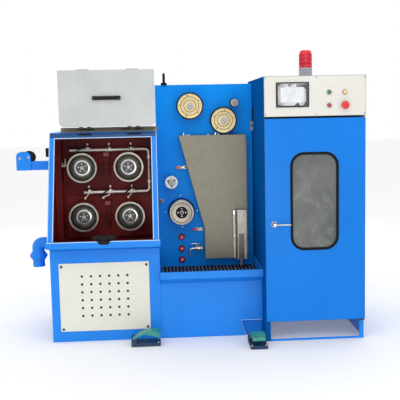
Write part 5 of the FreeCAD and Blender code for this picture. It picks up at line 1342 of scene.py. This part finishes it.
def makeWiper():
    low, high = span("wiper_box")
    back, front = high.y, low.y
    left = low.x + wiper["stripWidth"] + wiper["stripGap"]
    bottom = high.z - 336
    bm = bmesh.new()
    slab(bm, left, high.x, front, back, bottom, high.z, 0)
    slab(bm, left + 5, high.x - 14, front - 1.6, front + 1, bottom + 8, high.z - 9, 0)
    slab(bm, left + 1, left + 4, front - 3.4, front + 1, bottom + 4, high.z - 4, 1)
    slab(bm, left + 12, high.x - 18, front - 2.2, front, bottom + 3, bottom + 176, 3)
    slab(bm, low.x, low.x + wiper["stripWidth"], back - 22, back, bottom, high.z - 4, 0)
    slab(bm, low.x + 2, low.x + wiper["stripWidth"] - 3, back - 24, back - 20, high.z - 34, high.z - 6, 2)
    slab(bm, low.x + 1, low.x + wiper["stripWidth"] - 2, back - 25, back - 20, bottom + 150, bottom + 158, 2)
    addPiece("wiperBox", bm, "root", ["wiperSteel", "darkGroove", "brightMetal", "darkWiper"], ["wiper_box"],
             bevel=1.4)
    bm = bmesh.new()
    x, y = high.x - 36, (front + back) / 2
    tube = [place(x, y, bottom + 2), place(x, y, bottom - 20), place(x, y, low.z + 1)]
    addTube(bm, tube, wiper["tubeRadius"], 20, 0)
    addLathe(bm, [(0, 0), (12, 0), (12, 7), (9, 9), (0, 9)], place(x, y, bottom - 9), (0, 0, 1), 20, [0])
    addPiece("wiperTube", bm, "root", ["wiperSteel"], slotName="stainless", smooth=50)
    points = [place(low.x + 8, back - 22, z) for z in (bottom + 14, bottom + 120,
            high.z - 60)] + [place(high.x - 7, front, z) for z in (bottom + 24, high.z - 24)]
    repeatPart("wiperScrews", spotTree, screwHead(4, 2.4), "root", "brightMetal", slotName="bright_metal",
               points=points)


makeWiper()

# ---- toggle latches, button station and tap

latch = {"length": 80.0}


def makeLatches():
    low, high = span("cover_latches")
    bm = bmesh.new()
    half = latch["length"] / 2
    for x, z in ((low.x + half, high.z - 13), (high.x - half, low.z + 13)):
        y = high.y
        slab(bm, x - 26, x + half - 2, y - 3, y, z - 10, z + 10, 1)
        # red grip, tapered and raised at its free end
        grip = [place(x - half, y - 12, z - 7), place(x - half + 3, y - 18, z - 8),
                place(x - 4, y - 15, z - 8.5), place(x - 4, y - 5, z - 8.5), place(x - half + 2, y - 6, z - 7)]
        addPrism(bm, grip, (0, 0, 16 * mm), 0)
        addRod(bm, place(x - 2, y - 10, z - 10), place(x - 2, y - 10, z + 10), 4.4, 14, 1)
        addRod(bm, place(x + 9, y - 9, z - 10), place(x + 9, y - 9, z + 10), 3.6, 14, 1)
        for side in (-6, 6):
            addTube(bm, [place(x - 3, y - 11, z + side), place(x + 14, y - 10, z + side),
                         place(x + 30, y - 7, z + side * 0.6)], 2.1, 10, 1)
        slab(bm, x + 24, x + half - 1, y - 12, y - 2, z - 6, z + 6, 2)
        addRod(bm, place(x + 31, y - 8, z - 9), place(x + 31, y - 8, z + 9), 3.0, 12, 1)
    addPiece("coverLatches", bm, "root", ["latchRed", "brightMetal", "darkSteel"], ["cover_latches"], bevel=0.5,
             smooth=40)


makeLatches()


def makeStation():
    low, high = span("button_station")
    x, top, bottom = (low.x + high.x) / 2, high.z - 24, low.z + 24
    bm = bmesh.new()
    # the middle button sits a little above halfway, as the CAD has it
    rows = (top, bottom + (top - bottom) * 0.49, bottom)
    for z in rows:
        addLathe(bm, [(0, 0), (24, 0), (24, 4), (22.5, 7), (20, 11), (18.5, 14), (16.5, 14), (15.6, 12),
                      (15, 12)], place(x, high.y, z), steps=44, indices=[0])
        addLathe(bm, [(15.2, 11), (14.6, 17), (13, 20), (8, 21.6), (0, 22)], place(x, high.y, z), steps=40,
                 indices=[1])
        # small glowing pink disc just below each button's top: a painted highlight
        addLathe(bm, [(0, 21.3), (7.5, 21.4), (6.6, 22), (0, 22.2)], place(x, high.y, z - 1), steps=24,
                 indices=[2])
    addPiece("stationButtons", bm, "root", ["stationMaroon", "stationRed", "lensPink"], ["button_station"],
             smooth=50)


makeStation()


def makeTap():
    low, high = span("tap_body")
    y = layout(middle("tap_lever")).y
    x = layout(hi("tap_lever")).x - 12
    z = layout(lo("tap_lever")).z - 31.3
    bm = bmesh.new()
    addLathe(bm, [(0, 0), (18, 0), (18, 5), (12, 7), (11.5, high.y - y), (0, high.y - y)], place(x, high.y, z),
             steps=28, indices=[0])
    # hexagon ends and waist of the valve body
    addLathe(bm, [(0, 0), (15.5, 0), (17, 1.5), (17, 15), (14, 17), (12.5, 22), (14.5, 30), (12.5, 38),
                  (14, 43), (17, 45), (17, 57), (15, 60), (0, 60)],
             place(x - 30, y, z), (1, 0, 0), 28, [0])
    addLathe(bm, [(0, 8), (11, 8), (11, 17), (8, 19), (8, 27), (9.5, 28), (9.5, 31), (3.9, 31), (3.9, 37),
                  (0, 37)], place(x, y, z), (0, 0, 1), 24, [1])
    left = x - 30
    path = smoothPath([place(left + 4, y, z), place(left - 28, y, z), place(left - 28, y, z - 46)], 27 * mm, 10)
    addTube(bm, path, [8.6] * (len(path) - 1) + [8.9], 22, 0)
    addLathe(bm, [(6, 0), (9.4, 0), (9.8, 1.5), (9.8, 6), (8.6, 7)], place(left - 28, y, z - 47), (0, 0, 1), 22,
             [0])
    addPiece("tapBody", bm, "root", ["brightMetal", "brassTint"], ["tap_body"], smooth=45)
    low, high = span("tap_lever")
    bm = bmesh.new()
    addLathe(bm, [(4.1, 0), (12, 0), (12, 4.6), (10.6, 6), (4.1, 6)], place(x, y, low.z), (0, 0, 1), 28, [0],
             True)
    outline = [place(x - 9, y - 6, low.z + 1), place(x - 9, y + 6, low.z + 1), place(x - 34, y + 5, low.z + 1),
               place(x - 48, y + 6.4, low.z + 1), place(x - 52, y + 4, low.z + 1),
               place(x - 52, y - 4, low.z + 1), place(x - 48, y - 6.4, low.z + 1),
               place(x - 34, y - 5, low.z + 1)]
    addPrism(bm, outline, (0, 0, 4.4 * mm), 0)
    addPiece("tapLever", bm, "tap_lever", ["brightMetal"], ["tap_lever"], bevel=0.8)


makeTap()
# small fitting at the bay's left edge
eyelet = {"x": -634.0, "z": 829.0}
bm = bmesh.new()
stud = place(eyelet["x"], panelY, eyelet["z"])
addLathe(bm, [(0, 0), (15, 0), (15, 3), (9, 4), (9, 16), (12, 18), (12, 28), (9, 31), (0, 31)], stud, steps=28,
         indices=[0, 0, 0, 1, 1])
addPiece("wireEyelet", bm, "root", ["bezelSteel", "darkSteel"], slotName="bright_metal", smooth=40)
print("cover, wiper, latches and tap")

# ---- grille over the drip tray, its bars from front to back

grille = {"bars": 26, "barWidth": 7.0, "crossBars": 3}


def makeGrille():
    low, high = span("drain_grille")
    bar = bmesh.new()
    addBox(bar, (-grille["barWidth"] / 2 * mm, (low.y + 5) * mm, -5 * mm),
           (grille["barWidth"] / 2 * mm, (high.y - 5) * mm, 5.6 * mm))
    for vert in bar.verts:
        vert.co.y += cornerY
    part = loosePart("bar", bar)
    pitch = (high.x - low.x - 22) / (grille["bars"] - 1)
    centre = place((low.x + high.x) / 2, 0, (low.z + high.z) / 2)
    centre.y = 0
    repeatPart("grilleBars", gridTree, part, "root", "barSteel", ["drain_grille"], Columns=grille["bars"],
               Rows=1, Centre=centre, **{"Pitch X": pitch * mm, "Pitch Z": 0.0})
    bm = bmesh.new()
    slab(bm, low.x, high.x, low.y, low.y + 6, low.z, high.z - 1)
    slab(bm, low.x, high.x, high.y - 6, high.y, low.z, high.z - 1)
    slab(bm, low.x, low.x + 6, low.y, high.y, low.z, high.z - 1)
    slab(bm, high.x - 6, high.x, low.y, high.y, low.z, high.z - 1)
    for number in range(grille["crossBars"]):
        y = low.y + (high.y - low.y) * (number + 1) / (grille["crossBars"] + 1)
        slab(bm, low.x + 5, high.x - 5, y - 2, y + 2, low.z + 0.6, high.z - 3)
    addPiece("grilleRim", bm, "root", "wetSteel", slotName="grille_steel", bevel=0.6)
    # black sheet under the grille bars: painted shade seen through the grille
    bm = bmesh.new()
    slab(bm, low.x + 2, high.x - 2, low.y + 2, high.y - 2, low.z - 6, low.z - 4)
    addPiece("traySump", bm, "root", "ventBlack", slotName="grille_steel")


makeGrille()

# ---- perforated panel: dark behind each hole, a screw at each corner

vent = {"columns": 6, "rows": 6, "pitchX": 57.0, "pitchZ": 50.7, "firstX": 142.0, "firstZ": 98.0, "radius": 8.0}


def makeVent():
    low, high = span("vent_panel")
    cup = bmesh.new()
    addLathe(cup, [(0, 0.2), (vent["radius"] - 0.15, 0.2), (vent["radius"] - 0.15, 2.4)], (0, 0, 0), steps=20)
    centre = place(low.x + vent["firstX"] + vent["pitchX"] * (vent["columns"] - 1) / 2, high.y,
                   low.z + vent["firstZ"] + vent["pitchZ"] * (vent["rows"] - 1) / 2)
    repeatPart("ventShadows", gridTree, loosePart("cup", cup), "root", "ventBlack", slotName="black_steel",
               Columns=vent["columns"], Rows=vent["rows"], Centre=centre,
               **{"Pitch X": vent["pitchX"] * mm, "Pitch Z": vent["pitchZ"] * mm})
    points = [place(x, low.y, z) for x in (low.x + 16, high.x - 16) for z in (low.z + 14, high.z - 20)]
    repeatPart("ventScrews", spotTree, screwHead(8.5, 4), "root", "darkSteel", slotName="bright_metal",
               points=points)


makeVent()

# ---- chamber front: rolled edge strips in light blue as painted highlights, black catch, painted hinge shade and wire eyes

chamberTrim = {"beadRadius": 3.4, "catchX": -992.0, "hinges": (-1107.0, -796.0), "eyeDrops": (425, 500)}


def makeChamberTrim():
    low, high = span("chamber_front_frame")
    run = Vector((0, high.y - 6 - low.y, high.z - low.z))
    length = run.length
    slantY, slantZ = run.y / length, run.z / length
    bm = bmesh.new()

    def onSlant(x, height, proud):
        share = (height - low.z) / slantZ
        return place(x, low.y + share * slantY - proud * slantZ, height + proud * slantY)
    # rolled edges of the frame and lip, in light blue: painted highlights
    inner = (low.x + 34, high.x - 34)
    for x in inner:
        addTube(bm, [onSlant(x, low.z + 4, 1.2), onSlant(x, high.z - 36, 1.2)], chamberTrim["beadRadius"], 10,
                0)
    addTube(bm, [onSlant(inner[0], high.z - 36, 1.2), onSlant(inner[1], high.z - 36, 1.2)],
            chamberTrim["beadRadius"], 10, 0)
    for x in (low.x + 3, high.x - 3):
        addTube(bm, [onSlant(x, low.z + 4, 0.4), onSlant(x, high.z - 3, 0.4)], 2.4, 10, 0)
    lipLow, lipHigh = span("chamber_trough")
    addTube(bm, [place(lipLow.x + 3, lipLow.y + 2, low.z - 2), place(lipHigh.x - 3, lipLow.y + 2, low.z - 2)],
            3.0, 12, 0)
    addPiece("chamberBeads", bm, "root", ["edgeBlue"], slotName="machine_blue", smooth=60)
    # black catch: a wedge in the lip with a bowed keeper behind it
    bm = bmesh.new()
    x, y, z = chamberTrim["catchX"], lipLow.y, low.z
    wedge = [place(x - 42, y - 1.5, z + 1.5), place(x + 43, y - 1.5, z + 1.5), place(x + 30, y - 1.5, z - 20),
             place(x - 24, y - 1.5, z - 20)]
    addPrism(bm, wedge, (0, 10 * mm, 0), 0)
    bow = [place(x - 78, y + 14, z + 22), place(x - 40, y + 14, z + 37), place(x + 40, y + 14, z + 37),
           place(x + 86, y + 14, z + 26), place(x + 52, y + 14, z + 4), place(x - 52, y + 14, z + 4)]
    addPrism(bm, bow, (0, 12 * mm, 0), 0)
    slab(bm, x - 52, x + 52, y, y + 40, z - 2, z + 5, 0)
    slab(bm, x - 18, x + 18, y + 4, y + 16, z + 5, z + 30, 1)
    addPiece("lidCatch", bm, "root", ["blackSteel", "blackPlastic"], slotName="black_steel", bevel=1.6)
    # dark patches on the top strip under the two lid hinges: painted shade of the hinge slots
    bm = bmesh.new()
    for centre in chamberTrim["hinges"]:
        corners = [onSlant(centre + x, high.z + z, 0.8) for x,
                   z in ((-44, -20), (44, -20), (44, -8), (-44, -8))]
        addPrism(bm, corners, onSlant(0, high.z, 1.6) - onSlant(0, high.z, 0), 0)
    addPiece("hingeRecess", bm, "root", ["blackSteel"], slotName="black_steel", bevel=0.8)
    # eyes in the right wall where the wire leaves
    bm = bmesh.new()
    for drop in chamberTrim["eyeDrops"]:
        addLathe(bm, [(0, 0), (13, 0), (13, 4), (8, 6), (8, 15), (0, 15)],
                 place(high.x - 6.5, 470, high.z - drop), (-1, 0, 0), 24, [0])
    addPiece("wallEyes", bm, "root", ["brightMetal"], slotName="bright_metal", smooth=40)
    return onSlant


onSlant = makeChamberTrim()

# ---- lid: grip with end screws

lidGrip = {"halfThick": 5.4, "halfTall": 12.6, "sides": 16, "footIn": 12.0}


def makeLidHandle():
    low, high = span("lid_handle")
    z, front = (low.z + high.z) / 2, low.y
    bm = bmesh.new()
    half = (high.x - low.x) / 2
    cx = (low.x + high.x) / 2

    def section(x, scale, y):
        turns = [2 * pi * step / lidGrip["sides"] for step in range(lidGrip["sides"])]
        return [place(x, y + lidGrip["halfThick"] * scale * sin(turn),
                      z + lidGrip["halfTall"] * scale * cos(turn)) for turn in turns]
    addLoft(bm, [section(cx - half + 0.5, 0.86, front + 6), section(cx - half + 5, 1.0, front + 5.6),
                 section(cx - half * 0.4, 0.97, front + 5.4), section(cx + half * 0.4, 0.97, front + 5.4),
                 section(cx + half - 5, 1.0, front + 5.6), section(cx + half - 0.5, 0.86, front + 6)], 0, True,
            True)
    for side in (-1, 1):
        x = cx + side * (half - lidGrip["footIn"])
        addLathe(bm, [(11.5, 0), (10, 4), (9, high.y - front - 8), (0, high.y - front - 8)],
                 place(x, high.y, z), steps=24, indices=[0])
    addPiece("lidGrip", bm, "lid_lower", ["blackPlastic"], ["lid_handle"], smooth=50)
    points = [place(cx + side * (half - lidGrip["footIn"]), front + 0.4, z) for side in (-1, 1)]
    repeatPart("gripScrews", spotTree, screwHead(4.6, 0.9), "lid_lower", "darkSteel", slotName="black_plastic",
               points=points)


makeLidHandle()
print("tray, vent, chamber trim and lid")

# ---- wire inlet arm and its pulley

inlet = {"cheekGap": 30.0, "endBolt": 24.0, "footSides": (-34, 34), "footDrops": (88, 22)}


def makeInlet():
    low = layout(lo("inlet_bracket"))
    addSecondFinish(refine("inlet_bracket", "machineBlue", 1.6), "blackSteel",
                    lambda spot, normal: spot.z > 1158 and spot.x > chamberLeft - 42)
    pulley = layout(middle("inlet_pulley"))
    for name, out in (("inletBolts", -1), ("inletBackBolts", 1)):
        y = pulley.y + out * inlet["cheekGap"]
        points = [place(pulley.x, y, pulley.z), place(low.x + inlet["endBolt"], y, pulley.z - 6)]
        repeatPart(name, spotTree, hexBolt(11, 5, (0, out, 0)), "root", "brightMetal", slotName="bright_metal",
                   points=points)
    points = [place(chamberLeft - 8, pulley.y + side, pulley.z - drop) for side in inlet["footSides"]
              for drop in inlet["footDrops"]]
    repeatPart("inletFootBolts", spotTree, hexBolt(10, 5, (-1, 0, 0)), "root", "brightMetal",
               slotName="bright_metal", points=points)
    centre = wheelSeat("inlet_pulley")[0]
    bm = bmesh.new()
    addLathe(bm, [(8.2, 0), (15, 0), (15, 2), (30, 4), (32, 1), (41, 1), (42, 2.4), (42, 7), (33, 12), (33, 14),
                  (42, 19), (42, 23.6), (41, 25), (32, 25), (30, 22), (15, 24), (15, 26), (8.2, 26)], centre,
             steps=56, indices=[0], closed=True)
    addPiece("inletPulleyWheel", bm, "inlet_pulley", ["blackSteel"], ["inlet_pulley"], smooth=30)


makeInlet()

# ---- drain elbow with its union nut

drain = {"radius": 39.6, "unionUp": 58.0, "lugs": 6, "lugRing": 53.4, "boltRing": 47.0,
         "boltAngles": (0.8, 2.36, 3.93, 5.5)}


def makeDrain():
    low, high = span("drain_elbow")
    x, y = low.x + 54, (low.y + high.y) / 2
    z = high.z - 56
    bottom = low.z
    bm = bmesh.new()
    path = smoothPath([place(chamberLeft - 6, y, z), place(x, y, z), place(x, y, bottom + 88)], 52 * mm, 12)
    addTube(bm, path, drain["radius"], 40, 0)
    addLathe(bm, [(0, 0), (54, 0), (56, 2), (56, 10), (54, 12), (44, 12.5), (42, 20), (0, 20)],
             place(chamberLeft, y, z), (-1, 0, 0), 48, [0])
    addLathe(bm, [(0, 14), (43.5, 14), (45, 16), (45, 30), (43, 32), (39, 33), (0, 33)],
             place(chamberLeft - 14, y, z), (-1, 0, 0), 48, [0])
    union = bottom + drain["unionUp"]
    addLathe(bm, [(39, -12), (46, -10), (49, -2), (49, 0), (53, 2), (54, 5), (54, 22), (53, 26), (49, 28),
                  (46, 34), (43, 40), (39, 41)],
             place(x, y, union), (0, 0, 1), 48, [0])
    addLathe(bm, [(34, 0), (39, 0), (40, 1.5), (40, 10), (38.6, 12), (38.6, union - bottom - 10),
                  (40, union - bottom), (34, union - bottom)],
             place(x, y, bottom), (0, 0, 1), 48, [0], True)
    addLathe(bm, [(0, 40), (34, 40), (34, 41), (0, 41)], place(x, y, bottom), (0, 0, 1), 40, [1])
    addPiece("drainElbow", bm, "root", ["machineBlue", "blackSteel"], ["drain_elbow"], smooth=40)
    lug = bmesh.new()
    addBox(lug, (-3.4 * mm, -5 * mm, 0), (3.2 * mm, 5 * mm, 17 * mm))
    repeatPart("unionLugs", ringTree, loosePart("lug", lug), "root", "machineBlue", slotName="machine_blue",
               Count=drain["lugs"], Radius=drain["lugRing"] * mm, Start=0.3, Upright=True,
               Centre=place(x, y, union + 4))
    ring = drain["boltRing"]
    points = [place(chamberLeft - 12, y + ring * cos(angle), z + ring * sin(angle))
              for angle in drain["boltAngles"]]
    repeatPart("flangeBolts", spotTree, hexBolt(9, 5, (-1, 0, 0), False), "root", "blackSteel",
               slotName="black_steel", points=points)


makeDrain()

# ---- lifting eye, foot pedals and the cabinet's plain sides

refine("lifting_eye", "blackSteel", 0.8, smooth=60)
pedals = {"skirtLow": 52.0, "skirtTop": 82.0, "boltReach": 74.0, "boltSides": (-42, 42), "boltZ": 20.0}


def makePedals():
    # each treadle has a skirt under its toe that clears the base when it is pressed
    foot, top = pedals["skirtLow"], pedals["skirtTop"]
    for node in ("treadle_left", "treadle_right"):
        refine(node, "wornGreen", 1.4, smooth=50)
        low, high = span(node)
        bm = bmesh.new()
        if node == "treadle_left":
            slab(bm, high.x - 3, high.x, low.y, high.y, foot, top)
            for y in (low.y, high.y - 3):
                cheek = [place(high.x - back, y, z) for back, z in ((1, foot), (1, top), (90, top + 2),
                        (100, top - 10))]
                addPrism(bm, cheek, (0, 3 * mm, 0))
        else:
            slab(bm, low.x, high.x, low.y, low.y + 3, foot, top)
            for x in (low.x, high.x - 3):
                cheek = [place(x, low.y + back, z) for back, z in ((1, foot), (1, top), (90, top + 2),
                        (100, top - 10))]
                addPrism(bm, cheek, (3 * mm, 0, 0))
        bmesh.ops.recalc_face_normals(bm, faces=bm.faces)
        addPiece(node.replace("_", "-") + "-skirt", bm, node, "wornGreen", slotName="pedal_green", bevel=0.8)
    left, right = layout(middle("treadle_left")), layout(middle("treadle_right"))
    reach, z = pedals["boltReach"], pedals["boltZ"]
    spots = [place(left.x + reach, left.y + side, z) for side in pedals["boltSides"]]
    spots += [place(right.x + side, right.y - reach, z) for side in pedals["boltSides"]]
    repeatPart("pedalBolts", spotTree, hexBolt(9, 5, (0, 0, 1)), "root", "brightMetal", slotName="bright_metal",
               points=spots)


makePedals()


guide = {"slim": 0.7, "slotDrop": 188.0, "slotHeight": 81.0, "slotHalf": 22.0, "rollerRises": (14, 44),
         "rollerRadius": 6.0}


def makeCabinetTrim():
    # a slim wire guide, narrower than the room kept for it
    origin, centre = place(0, 0, 0), middle("wire_guide")
    for vert in bpy.data.objects["wire-guide-skin"].data.vertices:
        vert.co.x = origin.x + (vert.co.x - origin.x) * guide["slim"]
        vert.co.y = centre.y + (vert.co.y - centre.y) * guide["slim"]
    # dark frame in the wire slot of the left wall
    y, half = layout(centre).y, guide["slotHalf"]
    high = roofZ - guide["slotDrop"]
    low = high - guide["slotHeight"]
    bm = bmesh.new()
    for y0, y1, z0, z1 in ((y - half, y - half + 5, low - 4, high + 4),
                           (y + half - 5, y + half, low - 4, high + 4), (y - half, y + half, high, high + 5),
                           (y - half, y + half, low - 5, low)):
        slab(bm, -3, 5, y0, y1, z0, z1)
    addPiece("slotEdging", bm, "root", "blackRubber", slotName="black_rubber")
    bm = bmesh.new()
    for rise in guide["rollerRises"]:
        z = layout(lo("wire_guide")).z + rise
        addRod(bm, place(-17, y - 11, z), place(-17, y + 11, z), guide["rollerRadius"], 20, 0, 2)
    addPiece("guideRollers", bm, "root", "brightMetal", slotName="bright_metal")
    # screws for the roof and the decks on the right side
    wallX = layout(hi("cabinet_right_wall")).x - stepIn["side"]
    points = [place(wallX, along, z) for along in (60, 300, 560, 800) for z in (controlZ + 24, 150)]
    repeatPart("sideScrews", spotTree, screwHead(5, 2.6, (1, 0, 0)), "root", "machineBlue",
               slotName="machine_blue", points=points)


makeCabinetTrim()

backCover = {"sheet": 2.0, "louvres": 9, "louvrePitch": 34.0}


def makeBack():
    # screwed cover sheets and louvres on the hidden back
    low, high = span("rear_housing")
    backY = high.y - stepIn["back"]
    chamberTop = layout(hi("chamber_roof")).z
    bm = bmesh.new()
    panels = ((low.x + 36, bayLeft - 42, 120, chamberTop - 60), (bayLeft + 30, -36, 120, high.z - 70),
              (40, wide - 40, 160, roofZ - 90))
    points = []
    for x0, x1, z0, z1 in panels:
        slab(bm, x0, x1, backY - 0.5, backY + backCover["sheet"], z0, z1)
        for x in (x0 + 18, (x0 + x1) / 2, x1 - 18):
            for z in (z0 + 18, (z0 + z1) / 2, z1 - 18):
                points.append(place(x, backY + backCover["sheet"], z))
    addPiece("backCovers", bm, "root", "machineBlue", slotName="machine_blue", bevel=0.8)
    repeatPart("backScrews", spotTree, screwHead(6, 3, (0, 1, 0)), "root", "darkSteel", slotName="bright_metal",
               points=points)
    for number, (x0, x1, z0, z1) in enumerate(panels[:2]):
        fin = bmesh.new()
        outline = [Vector((-110, y, z)) * mm for y, z in ((0, -9), (9, 5), (8, 7), (0, 9))]
        addPrism(fin, outline, (220 * mm, 0, 0))
        repeatPart("backLouvres%d" % number, gridTree, loosePart("fin", fin), "root", "machineBlue",
                   slotName="machine_blue", Columns=1, Rows=backCover["louvres"],
                   Centre=place((x0 + x1) / 2, backY + backCover["sheet"], z0 + 260),
                   **{"Pitch X": 0.0, "Pitch Z": backCover["louvrePitch"] * mm})


makeBack()
print("inlet, drain, pedals and back")

# ---- folded sheet over the bay's base, the toe recess, painted shade on the chamber's top strip and painted shadow at the tray's ends

apron = {"sheet": 0.8, "toeBack": 206.0, "toeDepth": 180.0, "hingeShadeAt": (-1130.0, -1085.0, -850.0, -775.0)}


def makeApron():
    low, high = span("bay_base")
    face = low.y
    bm = bmesh.new()
    outline = [(low.x + 2, 2), (-113, 2), (-141, 102), (-2, 102), (-2, 354), (low.x + 2, 354)]
    addPrism(bm, [place(x, face - apron["sheet"], z) for x, z in outline], (0, apron["sheet"] * mm, 0))
    bmesh.ops.recalc_face_normals(bm, faces=bm.faces)
    addPiece("bayApron", bm, "root", ["machineBlue"], slotName="machine_blue")
    bm = bmesh.new()
    outline = [(-137, 100), (-1, 100), (-1, 1), (-109, 1)]
    addPrism(bm, [place(x, apron["toeBack"], z) for x, z in outline], (0, apron["toeDepth"] * mm, 0))
    bmesh.ops.recalc_face_normals(bm, faces=bm.faces)
    addPiece("toeBox", bm, "root", ["machineBlue"], slotName="machine_blue")
    # folded flange round the recess, in a light blue that paints its highlight
    bm = bmesh.new()
    edge = [place(-111, face - 1, 3), place(-139, face - 1, 101), place(-4, face - 1, 101)]
    addTube(bm, edge, 1.7, 8, 0)
    addPiece("toeFlange", bm, "root", ["edgeBlue"], slotName="machine_blue")
    # dark blue sheet over the chamber's top strip: painted shade
    low, high = span("chamber_front_frame")
    bm = bmesh.new()
    ends = ((low.x + 6, -32), (high.x - 6, -32), (high.x - 6, -3), (low.x + 6, -3))
    corners = [onSlant(x, high.z + z, 0.3) for x, z in ends]
    addPrism(bm, corners, onSlant(0, high.z, 0.8) - onSlant(0, high.z, 0.3))
    bmesh.ops.recalc_face_normals(bm, faces=bm.faces)
    addPiece("topStrip", bm, "root", ["stripBlue"], slotName="machine_blue")
    # dark wavy marks round the hinges on the rail: painted shade of the hinge recesses
    rail = layout(lo("lid_hinge_rail"))
    bm = bmesh.new()
    for centre in apron["hingeShadeAt"]:
        outline = [(-36, 0), (-20, 7), (-4, 3), (14, 9), (34, 5), (38, -1), (16, 1), (0, -4), (-18, 1)]
        addPrism(bm, [place(centre + x, rail.y + 9.2, rail.z + 15 + z) for x, z in outline], (0, 0.9 * mm, 0))
    bmesh.ops.recalc_face_normals(bm, faces=bm.faces)
    addPiece("railWear", bm, "root", ["blackSteel"], slotName="black_steel")
    # dark strips between the tray's ends and the walls: painted shadow
    tray = layout(hi("drip_tray"))
    bm = bmesh.new()
    for x in (tray.x - 7, layout(lo("drip_tray")).x + 1):
        slab(bm, x, x + 6, 190, panelY - 2, 373, 377)
    addPiece("traySeals", bm, "root", ["blackRubber"], slotName="black_rubber")


makeApron()
print("apron and strips")
